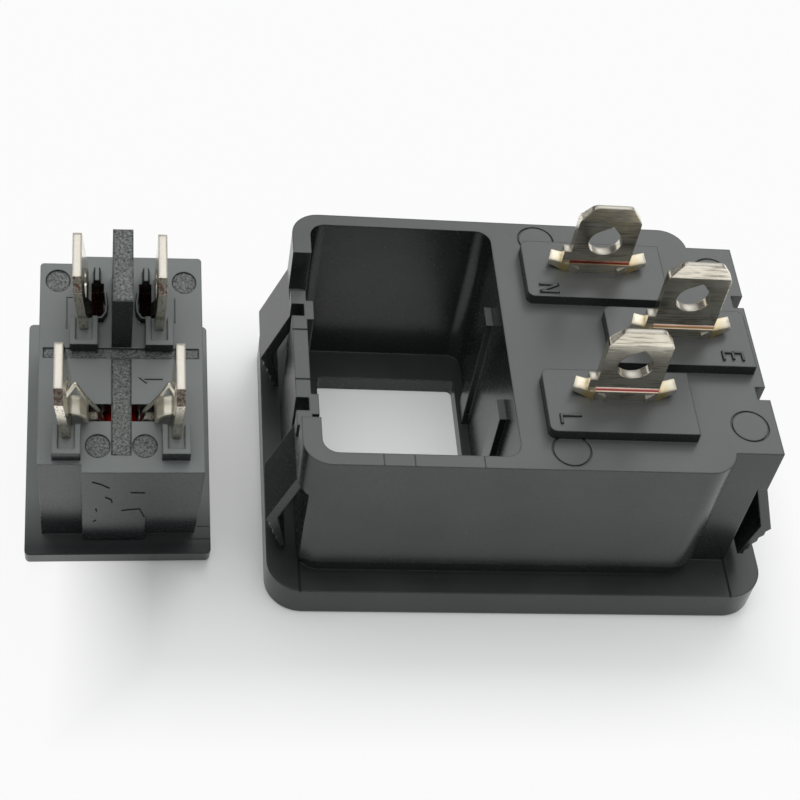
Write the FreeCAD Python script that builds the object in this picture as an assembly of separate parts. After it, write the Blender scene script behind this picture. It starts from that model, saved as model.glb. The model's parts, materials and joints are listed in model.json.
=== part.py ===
"""Snap-in mains inlet with a switch bay, and its rocker switch lying beside it, both face down.

Units are millimetres. Z is up, and Z = 0 is the surface that both pieces lie on. The origin is on
the long centre line of the inlet's front face, in the wall between the switch bay and the socket. X
runs along the flange from the bay to the socket, and Y runs across it, away from the viewer.
"""
import FreeCAD, Part
import math
import os

from FreeCAD import Placement, Rotation, Vector

# Inlet: flange and body
FLANGE_X0 = -21.75
FLANGE_X1 = 20.7
FLANGE_W = 30.4
FLANGE_T = 3.1
FLANGE_R = 3.1
FRONT_ROUND = 0.2
BODY_W = 26.9
BODY_TOP = 18.0
BODY_X0 = -20.1
BODY_X1 = 14.6
BODY_R = 2.3
COLUMN_X1 = 18.6
COLUMN_W = 22.8
FLANGE_LINES = (-19.05, 17.65)
FOOT_RELIEF = 0.5
FOOT_RELIEF_H = 1.75

# Inlet: switch bay, which ends in a front panel with the switch's cut-out
BAY_X0 = -18.55
BAY_X1 = -2.95
BAY_W = 24.55
BAY_R = 1.3
PANEL_T = 1.6
CUTOUT_X0 = -16.5
CUTOUT_X1 = -3.8
CUTOUT_W = 18.2
CUTOUT_R = 0.5
END_WALL_DROP = 3.0
END_WALL_T = 1.25
POST_Y = 8.85
NOTCH_Y0 = 7.3
WALL_LINES = (-2.5, 2.9)
LINE_W = 0.14
LINE_D = 0.12
GROOVE_Y = 5.1
GROOVE_W = 1.35
GROOVE_D = 1.05
END_SINK = 0.15
GUIDE_W = 2.1
GUIDE_OUT = 0.6

# Inlet: snap arms at both ends
ARM_Y0 = 5.8
ARM_Y1 = 11.35
ARM_ROOT_Z = 13.3
ARM_CREST_Z = 7.7
ARM_TIP_Z = 4.0
ARM_OUT = 2.05
ARM_TIP_OUT = 0.65
ARM_T = 1.0
ARM_TIP_T = 0.5
ARM_STEPS = 4
ARM_GAP = 0.85
ARM_LAP = 0.2

# Inlet: socket, contact pins and the pads that the pins come out of
PIN_PITCH = 14.0
EARTH_OFFSET = 4.0
PIN_W = 4.0
PIN_T = 2.0
PIN_TIP_Z = 2.0
PIN_TIP_TAPER = 0.6
SOCKET_X = 16.2
SOCKET_Y = 24.2
SOCKET_DEPTH = 16.4
SOCKET_CHAMFER = 3.6
SOCKET_R = 1.4
SOCKET_MID = 8.77
PAD_H = 1.0
PAD_R = 0.6
PAD_END = 0.88
MAIN_PAD_X0 = -0.65
MAIN_PAD_X1 = 11.55
MAIN_PAD_Y0 = 4.0
MAIN_PAD_Y1 = 10.4
EARTH_PAD_X0 = 5.6
EARTH_PAD_W = 6.2
EJECTOR_R = 1.6
EJECTOR_D = 0.15
EJECTOR_LINE = 0.13
EJECTORS = ((16.3, -8.6), (1.1, -11.5), (1.05, 11.5), (16.3, 8.6))

# Flat tabs of the inlet's pins
TAB_W = 5.25
TAB_T = 0.8
TAB_TOP = 26.75
NEUTRAL_TAB_TOP = 26.25
EARTH_TAB_TOP = 27.2
TAB_BACK = 0.45
TAB_TIP_W = 3.25
TAB_TIP_H = 1.4
TAB_TIP_R = 0.7
TAB_BEVEL = 0.2
TAB_BEVEL_H = 1.3
TAB_HOLE_W = 2.85
TAB_HOLE_H = 3.2
TAB_HOLE_TIP_R = 0.22
TAB_HOLE_LEAN = 0.3
TAB_HOLE_DROP = 3.55
TAB_NECK_W = 4.4
TAB_FOOT_T = 1.1
TAB_FOOT_H = 1.4
TAB_FOOT_SLOPE = 0.4
LINE_TAB_X = 5.75
NEUTRAL_TAB_X = 5.58
EARTH_TAB_X = 11.66
TAB_XS = (LINE_TAB_X, NEUTRAL_TAB_X, EARTH_TAB_X)
TAB_TOPS = (TAB_TOP, NEUTRAL_TAB_TOP, EARTH_TAB_TOP)
WING_L = 1.9
WING_H = 1.3
WING_DIP = 0.75
WING_FOOT = 0.55
WING_LIFT = 0.4
WING_EDGE = 0.92
WING_CREST = 0.1
SHOULDER_OUT = 0.6
SHOULDER_H = 0.9
WING_T = 0.8
WING_ANGLE = 17.0

# Switch: its own frame has x across, y from the near end of the bezel, z from the front to the terminals
BEZEL_W = 15.2
BEZEL_L = 20.8
BEZEL_T = 2.05
BEZEL_R = 0.4
BEZEL_EDGE_R = 0.25
CASE_W = 12.44
CASE_Y0 = 1.2
CASE_Y1 = 19.25
CASE_TOP = 18.0
CASE_STEP_X = -2.95
CASE_STEP = 0.65
CASE_R = 0.3
CASE_WALL = 0.8
CASE_REAR_T = 1.6
CATCH_H = 8.0
CATCH_GAP = 0.45
CATCH_PAD_X = 2.1
CAVITY_HALF = 7.6
MOUTH_HALF = 8.1
MOUTH_Z = 2.05
CAVITY_Z = 3.1
FIN_T = 1.5
FIN_Y0 = 11.48
FIN_Y1 = 17.4
FIN_H = 8.04
BAR_SINK = 0.15
CROSS_Y0 = 10.55
CROSS_Y1 = 11.4
CROSS_HALF = 5.9
SPINE_Y0 = 2.6
DOT_R = 0.95
DOTS = ((1.75, 3.35), (4.85, 17.1))
WINDOW_X0 = 0.75
WINDOW_X1 = 2.5
WINDOW_Y0 = 5.35
WINDOW_Y1 = 6.75
BARB_X0 = 1.35
BARB_X1 = 2.3
BARB_Y0 = 13.6
BARB_Y1 = 16.9
BOSS_H = 1.35
BOSS_L = 2.4
BOSS_LAP = 1.0
BOSS_W = 2.1
BOSS_RIM = 0.42
BOSS_SINK = 0.35

# Switch terminals, contacts and levers
BLADE_W = 4.8
BLADE_T = 0.66
BLADE_TOP = 25.8
NEAR_CHAMFER_Y = 1.1
NEAR_CHAMFER_Z = 0.65
FAR_CHAMFER = 0.25
BLADE_HOLE_R = 1.1
BLADE_HOLE_Z = 22.1
LEAN_LEFT = 4.4
LEAN_RIGHT = 0.5
NEAR_X = 4.07
NEAR_Y0 = 3.6
FAR_X = 2.85
FAR_Y0 = 12.5
TONGUE_W = 1.5
TONGUE_H = 2.0
TONGUE_OUT = 1.3
TONGUE_GAP = 0.6
BARB_OUT = 0.3
BARB_W = 1.1
BARB_H = 2.2
BARB_GAP = 0.2
SHELF_Z = 13.85
SHELF_W = 2.6
RIVET_R = 0.75
RIVET_H = 0.6
SHANK_R = 0.45
LEVER_T = 0.6
LEVER_W = 2.2
LEVER_NEAR = 5.6
LEVER_FAR = 4.2
LEVER_RISE = 16.0
LEVER_HALF = 8.0
FULCRUM_Z = 13.0
FULCRUM_GAP = 0.03
FULCRUM_W = 1.8
FULCRUM_POINT = 0.5
FULCRUM_H = 1.3
CONTACT_Y = 4.6

# Rocker, plungers and springs; the rocker's sizes are from its pivot
PIVOT_Y = (CASE_Y0 + CASE_Y1) / 2.0
PIVOT_Z = 3.4
THROW_HALF = 17.0
ROCKER_GAP = 0.17
ROCKER_W = CASE_W - 2 * (CASE_WALL + ROCKER_GAP)
ROCKER_TIP_Y = 6.1
ROCKER_TIP_Z = 6.12
ROCKER_MID_Z = 4.1
ROCKER_SKIRT_Y = 7.2
ROCKER_SKIRT_Z = 3.4
ROCKER_FOOT_Y = 6.6
ROCKER_FOOT_Z = 1.2
ROCKER_WALL = 1.0
CHEEK_FOOT_W = 5.2
CHEEK_W = 3.2
TIP_R = 0.35
JOURNAL_R = 1.1
JOURNAL_L = 0.45
RUN = 0.04
TUBE_R = 1.3
TUBE_END = 6.0
PLUNGER_R = 0.9
PLUNGER_TIP = 8.6
PLUNGER_START = 3.6
SPRING_R = 0.62
SPRING_WIRE = 0.13
SPRING_TURNS = 6

# Lamp
LAMP_R = 1.3
LAMP_L = 6.0
LAMP_Z = 14.6
LAMP_Y0 = 4.1
LEAD_X = 1.4
LEAD_JOG = 0.3
WIRE_R = 0.16
WIRE_TOUCH = 0.005
RESISTOR_R = 0.8
RESISTOR_L = 2.8

# Where the switch lies: it rests on the bezel's near edge and on the raised end of its rocker
SWITCH_X = -33.86
SWITCH_Y = -10.4
SWITCH_YAW = 1.7
EDGE_SINK = 0.06


def box(x0, x1, y0, y1, z0, z1):
    """A block between two corners."""
    return Part.makeBox(x1 - x0, y1 - y0, z1 - z0, Vector(x0, y0, z0))


def prism(points, along):
    """A polygon's face pushed along a vector."""
    wire = Part.makePolygon(points + [points[0]])
    return Part.Face(wire).extrude(along)


def profile_yz(points, x0, x1):
    """A prism along x from points (y, z)."""
    return prism([Vector(x0, y, z) for y, z in points], Vector(x1 - x0, 0, 0))


def profile_xz(points, y0, y1):
    """A prism along y from points (x, z)."""
    return prism([Vector(x, y0, z) for x, z in points], Vector(0, y1 - y0, 0))


def round_upright(shape, radius_at):
    """Rounds the upright edges; radius_at(x, y) gives the radius of the edge there, or 0."""
    by_radius = {}
    for edge in shape.Edges:
        a, b = edge.Vertexes[0].Point, edge.Vertexes[-1].Point
        if abs(a.x - b.x) + abs(a.y - b.y) < 1e-6:
            by_radius.setdefault(radius_at(a.x, a.y), []).append(edge)
    sizes = [(r, edges) for r, edges in by_radius.items() if r > 0]
    if len(sizes) == 1:
        return shape.makeFillet(sizes[0][0], sizes[0][1])
    radius = sizes[0][0]
    first = shape.makeFillet(radius, sizes[0][1])
    return round_upright(first, lambda x, y: 0 if radius_at(x, y) == radius else radius_at(x, y))


def edges_at_z(shape, z):
    """The edges that lie wholly at one height."""
    return [e for e in shape.Edges if all(abs(v.Z - z) < 1e-6 for v in e.Vertexes)]


def joined(first, *others):
    """One solid from pieces that overlap, with the seams between flush faces removed."""
    return first.multiFuse(list(others)).removeSplitter()


def teardrop_y(cx, cz, width, height, tip_r, lean, y0, y1):
    """A hole tool along y: a circle whose sides run together to a small round tip above, aside by lean."""
    r = width / 2.0
    low, high = Vector(cx, y0, cz - height / 2 + r), Vector(cx + lean, y0, cz + height / 2 - tip_r)
    way = math.atan2(high.z - low.z, lean)
    half = math.acos((r - tip_r) / (high - low).Length)
    sides = []
    for turn, order in ((way + half, (low, r, high, tip_r)), (way - half, (high, tip_r, low, r))):
        out = Vector(math.cos(turn), 0, math.sin(turn))
        sides += [order[0] + out * order[1], order[2] + out * order[3]]
    middle = prism(sides, Vector(0, y1 - y0, 0))
    big = Part.makeCylinder(r, y1 - y0, low, Vector(0, 1, 0))
    tip = Part.makeCylinder(tip_r, y1 - y0, high, Vector(0, 1, 0))
    return big.multiFuse([tip, middle])


def mirrored_y(shape):
    """The same shape on the other side of the Y = 0 plane."""
    return shape.mirror(Vector(0, 0, 0), Vector(0, 1, 0))


def mirrored_x(shape):
    """The same shape on the other side of the x = 0 plane."""
    return shape.mirror(Vector(0, 0, 0), Vector(1, 0, 0))


# Inlet

def flange():
    """The front flange, with round corners and an eased front edge."""
    plate = box(FLANGE_X0, FLANGE_X1, -FLANGE_W / 2, FLANGE_W / 2, 0, FLANGE_T)
    plate = round_upright(plate, lambda x, y: FLANGE_R)
    return plate.makeFillet(FRONT_ROUND, edges_at_z(plate, 0))


def body_block():
    """The body behind the flange: a rounded box, a narrower end column, and the pads of the pins."""
    main = box(BODY_X0, BODY_X1, -BODY_W / 2, BODY_W / 2, 0.5 * FLANGE_T, BODY_TOP)
    main = round_upright(main, lambda x, y: BODY_R)
    column = box(BODY_X1 - BODY_R, COLUMN_X1, -COLUMN_W / 2, COLUMN_W / 2, 0.5 * FLANGE_T, BODY_TOP)
    return main.multiFuse([column] + pads())


def pads():
    """Raised pads around the three tabs."""
    low = BODY_TOP - PAD_H
    high = BODY_TOP + PAD_H
    line = box(MAIN_PAD_X0, MAIN_PAD_X1, -MAIN_PAD_Y1, -MAIN_PAD_Y0, low, high)
    line = round_upright(line, lambda x, y: PAD_R if x < EARTH_PAD_X0 else 0)
    earth = box(EARTH_PAD_X0, COLUMN_X1 - PAD_END, -EARTH_PAD_W / 2, EARTH_PAD_W / 2, low, high)
    earth = round_upright(earth, lambda x, y: PAD_R if x < MAIN_PAD_X1 or y > 0 else 0)
    return [line, mirrored_y(line), earth]


def switch_bay():
    """The bay behind the cut-out, and the cut-out itself."""
    bay = box(BAY_X0, BAY_X1, -BAY_W / 2, BAY_W / 2, PANEL_T, BODY_TOP + PAD_H)
    bay = round_upright(bay, lambda x, y: BAY_R)
    hole = box(CUTOUT_X0, CUTOUT_X1, -CUTOUT_W / 2, CUTOUT_W / 2, -1, PANEL_T + 1)
    return [bay, round_upright(hole, lambda x, y: CUTOUT_R)]


def end_wall_cut():
    """Lowers the bay's end wall between its corner posts, most beside the posts, and thins it."""
    drop = box(BODY_X0 - 1, BAY_X0 + 0.5, -POST_Y, POST_Y, BODY_TOP - END_WALL_DROP, BODY_TOP + PAD_H)
    thin = box(BODY_X0 + END_WALL_T, BAY_X0 + 0.5, -POST_Y, POST_Y, PANEL_T, BODY_TOP)
    notch = box(BODY_X0 - 1, BAY_X0 + 0.5, NOTCH_Y0, POST_Y, ARM_ROOT_Z + ARM_LAP, BODY_TOP)
    return [drop, thin, notch, mirrored_y(notch)]


def groove_cuts():
    """Upright grooves in both end faces, beside the snap arms; the column stands back between its two."""
    cuts = [box(COLUMN_X1 - END_SINK, COLUMN_X1 + 1, -GROOVE_Y, GROOVE_Y, FLANGE_T, BODY_TOP + 2 * PAD_H)]
    for side in (-1, 1):
        y = side * GROOVE_Y
        cuts.append(box(BODY_X0 - 1, BODY_X0 + GROOVE_D, y - GROOVE_W / 2, y + GROOVE_W / 2,
                        FLANGE_T, BODY_TOP + PAD_H))
        cuts.append(box(COLUMN_X1 - GROOVE_D, COLUMN_X1 + 1, y - GROOVE_W / 2, y + GROOVE_W / 2,
                        FLANGE_T, BODY_TOP + 2 * PAD_H))
    return cuts


def guides():
    """Upright guides inside the bay: two behind the grooves of its end wall and two opposite them."""
    pieces = []
    for side in (-1, 1):
        y0 = side * GROOVE_Y - GUIDE_W / 2
        y1 = y0 + GUIDE_W
        top = BODY_TOP - END_WALL_DROP
        pieces.append(box(BODY_X0 + GROOVE_D, BODY_X0 + END_WALL_T + GUIDE_OUT, y0, y1, PANEL_T / 2, top))
        pieces.append(box(BAY_X1 - GUIDE_OUT, BAY_X1 + GUIDE_OUT, y0, y1, PANEL_T / 2, top))
    return pieces


def arm_outline(face_x):
    """Outline (x, z) of a snap arm that hangs from an end face at face_x, towards +x."""
    crest = (face_x + ARM_OUT, ARM_CREST_Z)
    tip = (face_x + ARM_TIP_OUT, ARM_TIP_Z)
    outer = [(face_x, ARM_ROOT_Z + ARM_LAP), (face_x, ARM_ROOT_Z), crest]
    step_x = (tip[0] - crest[0]) / ARM_STEPS
    step_z = (tip[1] - crest[1]) / ARM_STEPS
    for i in range(ARM_STEPS):
        outer.append((crest[0] + (i + 1) * step_x, crest[1] + (i + 0.45) * step_z))
        outer.append((crest[0] + (i + 1) * step_x, crest[1] + (i + 1) * step_z))
    inner = [(tip[0] - ARM_TIP_T, ARM_TIP_Z), (crest[0] - ARM_T, ARM_CREST_Z + 0.3),
             (face_x - ARM_GAP, ARM_ROOT_Z), (face_x - ARM_GAP, ARM_ROOT_Z + ARM_LAP)]
    return outer + inner


def snap_arms():
    """Four snap arms, two at each end."""
    right = profile_xz(arm_outline(COLUMN_X1), -ARM_Y1, -ARM_Y0)
    left = profile_xz([(-x, z) for x, z in arm_outline(-BODY_X0)], -ARM_Y1, -ARM_Y0)
    return [right, left, mirrored_y(right), mirrored_y(left)]


def arm_cuts():
    """Room behind the snap arms, out to the body's corners, so that they can be pressed inwards."""
    y0, y1 = ARM_Y0 - 0.3, BODY_W / 2 + 1
    right = box(COLUMN_X1 - ARM_GAP, COLUMN_X1 + 1, -y1, -y0, FLANGE_T, ARM_ROOT_Z)
    left = box(BODY_X0 - 1, BODY_X0 + ARM_GAP, -y1, -y0, FLANGE_T, ARM_ROOT_Z)
    return [right, left, mirrored_y(right), mirrored_y(left)]


def socket_cavity():
    """The plug's cavity, with the two cut corners on the earth side."""
    x0, x1 = SOCKET_MID - SOCKET_X / 2, SOCKET_MID + SOCKET_X / 2
    half = SOCKET_Y / 2.0
    c = SOCKET_CHAMFER
    outline = [(x0, -half), (x1 - c, -half), (x1, -half + c), (x1, half - c), (x1 - c, half), (x0, half)]
    cavity = prism([Vector(x, y, -1) for x, y in outline], Vector(0, 0, SOCKET_DEPTH + 1))
    return round_upright(cavity, lambda x, y: SOCKET_R if x < x0 + 1 else 0)


def pin_slots():
    """Slots in the socket's rear wall that grip the pins."""
    slots = []
    for (x, y), tab_x in zip(pin_places(), TAB_XS):
        slots.append(box(x - PIN_W / 2, x + PIN_W / 2, y - PIN_T / 2, y + PIN_T / 2,
                         SOCKET_DEPTH - 1, BODY_TOP))
        slots.append(neck(tab_x, y + TAB_BACK, BODY_TOP + 2 * PAD_H))
    return slots


def neck(x, y, top):
    """The narrow part of a pin that goes through its pad."""
    return box(x - TAB_NECK_W / 2, x + TAB_NECK_W / 2, y - TAB_T / 2, y + TAB_T / 2, BODY_TOP - PAD_H, top)


def pin_places():
    """Centres (x, y) of the line, neutral and earth pins."""
    main_x = SOCKET_MID - EARTH_OFFSET / 2.0
    earth_x = SOCKET_MID + EARTH_OFFSET / 2.0
    return [(main_x, -PIN_PITCH / 2.0), (main_x, PIN_PITCH / 2.0), (earth_x, 0.0)]


def foot_reliefs():
    """A shallow relief along the foot of the long walls and round their corners, for the panel's edge."""
    outer, top = BODY_W / 2.0, FLANGE_T + FOOT_RELIEF_H
    inner = outer - FOOT_RELIEF
    core = box(BODY_X0 + FOOT_RELIEF, BODY_X1 - FOOT_RELIEF, -inner, inner, FLANGE_T, top)
    core = round_upright(core, lambda x, y: BODY_R)
    near = box(BODY_X0 - 1, BODY_X1 + 1, -outer - 1, -COLUMN_W / 2, FLANGE_T, top).cut(core)
    return [near, mirrored_y(near)]


def mould_lines():
    """Fine witness lines: across the top of the bay's end wall, and across the flange's near rim."""
    wall_z, half = BODY_TOP - END_WALL_DROP, LINE_W / 2.0
    lines = [box(BODY_X0 - 1, BODY_X0 + END_WALL_T + 1, y - half, y + half, wall_z - LINE_D, wall_z + LINE_D)
             for y in WALL_LINES]
    lines += [box(x - half, x + half, -FLANGE_W / 2 - 1, -COLUMN_W / 2, FLANGE_T - LINE_D, FLANGE_T + LINE_D)
              for x in FLANGE_LINES]
    return lines


def ejector_marks():
    """Fine grooves around the marks of the ejector pins on the rear face."""
    marks = []
    for x, y in EJECTORS:
        at = Vector(x, y, BODY_TOP - EJECTOR_D)
        core = Part.makeCylinder(EJECTOR_R - EJECTOR_LINE, 2 * EJECTOR_D, at)
        marks.append(Part.makeCylinder(EJECTOR_R, 2 * EJECTOR_D, at).cut(core))
    return marks


def inlet_housing():
    """The inlet's one-piece moulding."""
    solid = flange().fuse(body_block())
    solid = solid.cut(switch_bay() + end_wall_cut() + [socket_cavity()])
    solid = solid.cut(arm_cuts() + foot_reliefs())
    solid = joined(solid, *(guides() + snap_arms()))
    return solid.cut(groove_cuts() + pin_slots() + ejector_marks() + mould_lines()).removeSplitter()


def wing(x, y, side):
    """A side wing at the foot of a tab, which locks the pin: its outer end is lifted and its front slopes."""
    base = BODY_TOP + PAD_H
    top, inner, outer = base + WING_H, -WING_T, WING_L
    half = WING_T / 2.0
    plate = profile_xz([(inner, base), (WING_FOOT, base), (outer, base + WING_LIFT), (outer, top),
                        (outer / 2, top), (inner, top - WING_DIP)], -half, half)
    slope = profile_yz([(-side * half, base), (side * half, base), (side * half, top),
                        (side * (half - WING_CREST), top), (-side * half, base + WING_EDGE)], inner, outer)
    plate = plate.common(slope)
    turn = WING_ANGLE if side > 0 else 180.0 - WING_ANGLE
    plate.Placement = Placement(Vector(x + side * (TAB_W / 2 - 0.3), y, 0), Rotation(Vector(0, 0, 1), turn))
    return plate


def contact_pin(pin_x, tab_x, y, top):
    """One stamped and folded pin: the plug blade, its neck, its folded foot, two wings and the flat tab."""
    base = BODY_TOP + PAD_H
    half_w, half_t = PIN_W / 2.0, PIN_T / 2.0
    blade = box(pin_x - half_w, pin_x + half_w, y - half_t, y + half_t, PIN_TIP_Z, BODY_TOP)
    tip = [e for e in edges_at_z(blade, PIN_TIP_Z) if abs(e.Vertexes[0].Y - e.Vertexes[1].Y) < 1e-6]
    blade = blade.makeChamfer(PIN_TIP_TAPER, tip)
    tab_y = y + TAB_BACK
    tab = flat_tab(tab_x, tab_y, top)
    wing_y = tab_y - TAB_FOOT_T / 2 + WING_T / 2
    edge = tab_x - TAB_W / 2
    shoulder = box(edge - SHOULDER_OUT, edge + TAB_T, tab_y - TAB_T / 2, tab_y + TAB_T / 2,
                   base + TAB_FOOT_H - TAB_FOOT_SLOPE, base + TAB_FOOT_H + SHOULDER_H)
    return joined(blade, neck(tab_x, tab_y, base + TAB_FOOT_H), tab_foot(tab_x, tab_y), tab, shoulder,
                  wing(tab_x, wing_y, -1), wing(tab_x, wing_y, 1))


def tab_foot(x, y):
    """The folded foot of a tab, whose long edges slope up to the tab's faces."""
    half, thick = TAB_FOOT_T / 2.0, TAB_T / 2.0
    base = BODY_TOP + PAD_H
    edge, top = base + TAB_FOOT_H - TAB_FOOT_SLOPE, base + TAB_FOOT_H
    return profile_yz([(y - half, base), (y + half, base), (y + half, edge), (y + thick, top),
                       (y - thick, top), (y - half, edge)], x - TAB_W / 2, x + TAB_W / 2)


def flat_tab(x, y, top):
    """The tab that a push-on receptacle slides over: a tapered tip with coined faces, and a hole."""
    half, tip, thick = TAB_W / 2.0, TAB_TIP_W / 2.0, TAB_T / 2.0
    low = BODY_TOP + PAD_H + TAB_BEVEL
    outline = profile_xz([(x - half, low), (x + half, low), (x + half, top - TAB_TIP_H), (x + tip, top),
                          (x - tip, top), (x - half, top - TAB_TIP_H)], y - TAB_T, y + TAB_T)
    coined = profile_yz([(y - thick, low), (y + thick, low), (y + thick, top - TAB_BEVEL_H),
                         (y + thick - TAB_BEVEL, top), (y - thick + TAB_BEVEL, top),
                         (y - thick, top - TAB_BEVEL_H)], x - TAB_W, x + TAB_W)
    across = [e for e in outline.Edges if abs(e.Vertexes[0].Z - e.Vertexes[1].Z) < 1e-6
              and abs(e.Vertexes[0].X - e.Vertexes[1].X) < 1e-6]
    outline = outline.makeFillet(TAB_TIP_R, [e for e in across if e.Vertexes[0].Z > low + TAB_BEVEL_H])
    hole = teardrop_y(x, top - TAB_HOLE_DROP, TAB_HOLE_W, TAB_HOLE_H, TAB_HOLE_TIP_R, TAB_HOLE_LEAN,
                      y - TAB_W, y + TAB_W)
    return outline.common(coined).cut(hole)


# Switch, in its own frame

def case_outer():
    """Bezel and case of the switch before it is hollowed."""
    bezel = box(-BEZEL_W / 2, BEZEL_W / 2, 0, BEZEL_L, 0, BEZEL_T)
    bezel = round_upright(bezel, lambda x, y: BEZEL_R)
    bezel = bezel.makeFillet(BEZEL_EDGE_R, edges_at_z(bezel, 0))
    half = CASE_W / 2.0
    wide = box(CASE_STEP_X, half, CASE_Y0, CASE_Y1, BEZEL_T / 2, CASE_TOP)
    wide = round_upright(wide, lambda x, y: CASE_R if y > PIVOT_Y else 0)
    narrow = box(-half, CASE_STEP_X + CASE_W / 4, CASE_Y0 + CASE_STEP, CASE_Y1 - CASE_STEP,
                 BEZEL_T / 2, CASE_TOP)
    narrow = round_upright(narrow, lambda x, y: CASE_R if y > PIVOT_Y else 0)
    fin = box(-FIN_T / 2, FIN_T / 2, FIN_Y0, FIN_Y1, CASE_TOP - 0.5, CASE_TOP + FIN_H)
    return joined(bezel, wide, narrow, fin, *bosses())


def bosses():
    """Low bosses on the rear face, around the near edge of each terminal, with a U-shaped rim."""
    pieces = []
    for x, y in ((NEAR_X, NEAR_Y0), (FAR_X, FAR_Y0)):
        y0 = y + BOSS_LAP - BOSS_L
        high = CASE_TOP + BOSS_H
        boss = box(x - BOSS_W / 2, x + BOSS_W / 2, y0, y0 + BOSS_L, CASE_TOP - 0.5, high)
        half = BOSS_W / 2 - BOSS_RIM
        hollow = box(x - half, x + half, y0 + BOSS_RIM, y0 + 2 * BOSS_L, high - BOSS_SINK, high + BOSS_SINK)
        boss = boss.cut(hollow)
        pieces += [boss, mirrored_x(boss)]
    return pieces


def catch_cut():
    """A hollow that runs in smoothly down the near wall beside the catch pad, and a gap above the bezel."""
    low, high = BEZEL_T, BEZEL_T + CATCH_H
    foot, top = Vector(CATCH_PAD_X, CASE_Y0 + CASE_STEP, low), Vector(CATCH_PAD_X, CASE_Y0, high)
    middle = Vector(CATCH_PAD_X, CASE_Y0 + CASE_STEP / 4, (low + high) / 2)
    outside = [top, Vector(CATCH_PAD_X, CASE_Y0 - 1, high), Vector(CATCH_PAD_X, CASE_Y0 - 1, low), foot]
    wire = Part.Wire([Part.Arc(foot, middle, top).toShape()] + Part.makePolygon(outside).Edges)
    hollow = Part.Face(wire).extrude(Vector(CASE_W, 0, 0))
    gap = box(CASE_STEP_X, CASE_W, CASE_Y0 - 1, CASE_Y0 + CASE_STEP, low, low + CATCH_GAP)
    return hollow.fuse(gap)


def catch_cuts():
    """The same hollow and gap in the near and the far wall."""
    near = catch_cut()
    far = near.mirror(Vector(0, PIVOT_Y, 0), Vector(0, 1, 0))
    return [near, far]


def case_hollow():
    """The rocker's mouth, the cavity behind it and the two bearing sockets."""
    inner = CASE_W / 2.0 - CASE_WALL
    rear = CASE_TOP - CASE_REAR_T
    half = [(MOUTH_HALF, -1), (MOUTH_HALF, MOUTH_Z), (CAVITY_HALF, CAVITY_Z), (CAVITY_HALF, rear)]
    outline = [(PIVOT_Y + y, z) for y, z in half] + [(PIVOT_Y - y, z) for y, z in reversed(half)]
    reach = ROCKER_W / 2.0 + JOURNAL_L + 0.1
    bearing = Part.makeCylinder(JOURNAL_R + RUN, 2 * reach, Vector(-reach, PIVOT_Y, PIVOT_Z), Vector(1, 0, 0))
    return [profile_yz(outline, -inner, inner), bearing]


def rear_marks():
    """Sunk bars and ejector marks on the rear face, and the windows of the lamp's leads and the barbs."""
    low, high = CASE_TOP - BAR_SINK, CASE_TOP + BAR_SINK
    marks = [box(-CROSS_HALF, CROSS_HALF, CROSS_Y0, CROSS_Y1, low, high),
             box(-FIN_T / 2, FIN_T / 2, SPINE_Y0, CROSS_Y0, low, high)]
    for x, y in DOTS:
        marks += [Part.makeCylinder(DOT_R, 2 * BAR_SINK, Vector(s * x, y, low)) for s in (-1, 1)]
    low, high = CASE_TOP - CASE_REAR_T - 1, CASE_TOP + BOSS_H
    window = box(WINDOW_X0, WINDOW_X1, WINDOW_Y0, WINDOW_Y1, low, high)
    barb = box(BARB_X0, BARB_X1, BARB_Y0, BARB_Y1, low, high)
    return marks + [window, mirrored_x(window), barb, mirrored_x(barb)]


def blade_slots():
    """Slots in the rear wall that grip the four terminals."""
    slots = []
    for x, y in ((NEAR_X, NEAR_Y0), (FAR_X, FAR_Y0)):
        slot = box(x - BLADE_T / 2, x + BLADE_T / 2, y, y + BLADE_W, CASE_TOP - CASE_REAR_T - 1,
                   CASE_TOP + 2 * BOSS_H)
        slots += [slot, mirrored_x(slot)]
    return slots


def switch_housing():
    """The switch's one-piece case with its bezel."""
    solid = case_outer().cut(catch_cuts() + case_hollow())
    return solid.cut(rear_marks() + blade_slots()).removeSplitter()


def blade_outline(y0, foot):
    """Outline (y, z) of a terminal: the foot's points, then the blade with its cut corners."""
    y1 = y0 + BLADE_W
    c = FAR_CHAMFER
    return foot + [(y1, BLADE_TOP - c), (y1 - c, BLADE_TOP), (y0 + NEAR_CHAMFER_Y, BLADE_TOP),
                   (y0, BLADE_TOP - NEAR_CHAMFER_Z)]


def leaning_blade(x, y0, foot, lean):
    """A blade of even thickness that leans outwards above the bosses, cut to its outline."""
    bend = CASE_TOP + BOSS_H
    half = BLADE_T / 2.0
    shift = (BLADE_TOP - bend) * math.tan(math.radians(lean))
    low = min(z for y, z in foot)
    y_near, y_far = PIVOT_Y - CAVITY_HALF, PIVOT_Y + CAVITY_HALF
    thick = profile_xz([(x - half, low), (x + half, low), (x + half, bend), (x + half + shift, BLADE_TOP),
                        (x - half + shift, BLADE_TOP), (x - half, bend)], y_near, y_far)
    outline = profile_yz(blade_outline(y0, foot), x - BLADE_W, x + BLADE_W)
    hole = Part.makeCylinder(BLADE_HOLE_R, 2 * BLADE_W, Vector(x - BLADE_W, y0 + BLADE_W / 2, BLADE_HOLE_Z),
                             Vector(1, 0, 0))
    return thick.common(outline).cut(hole)


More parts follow.
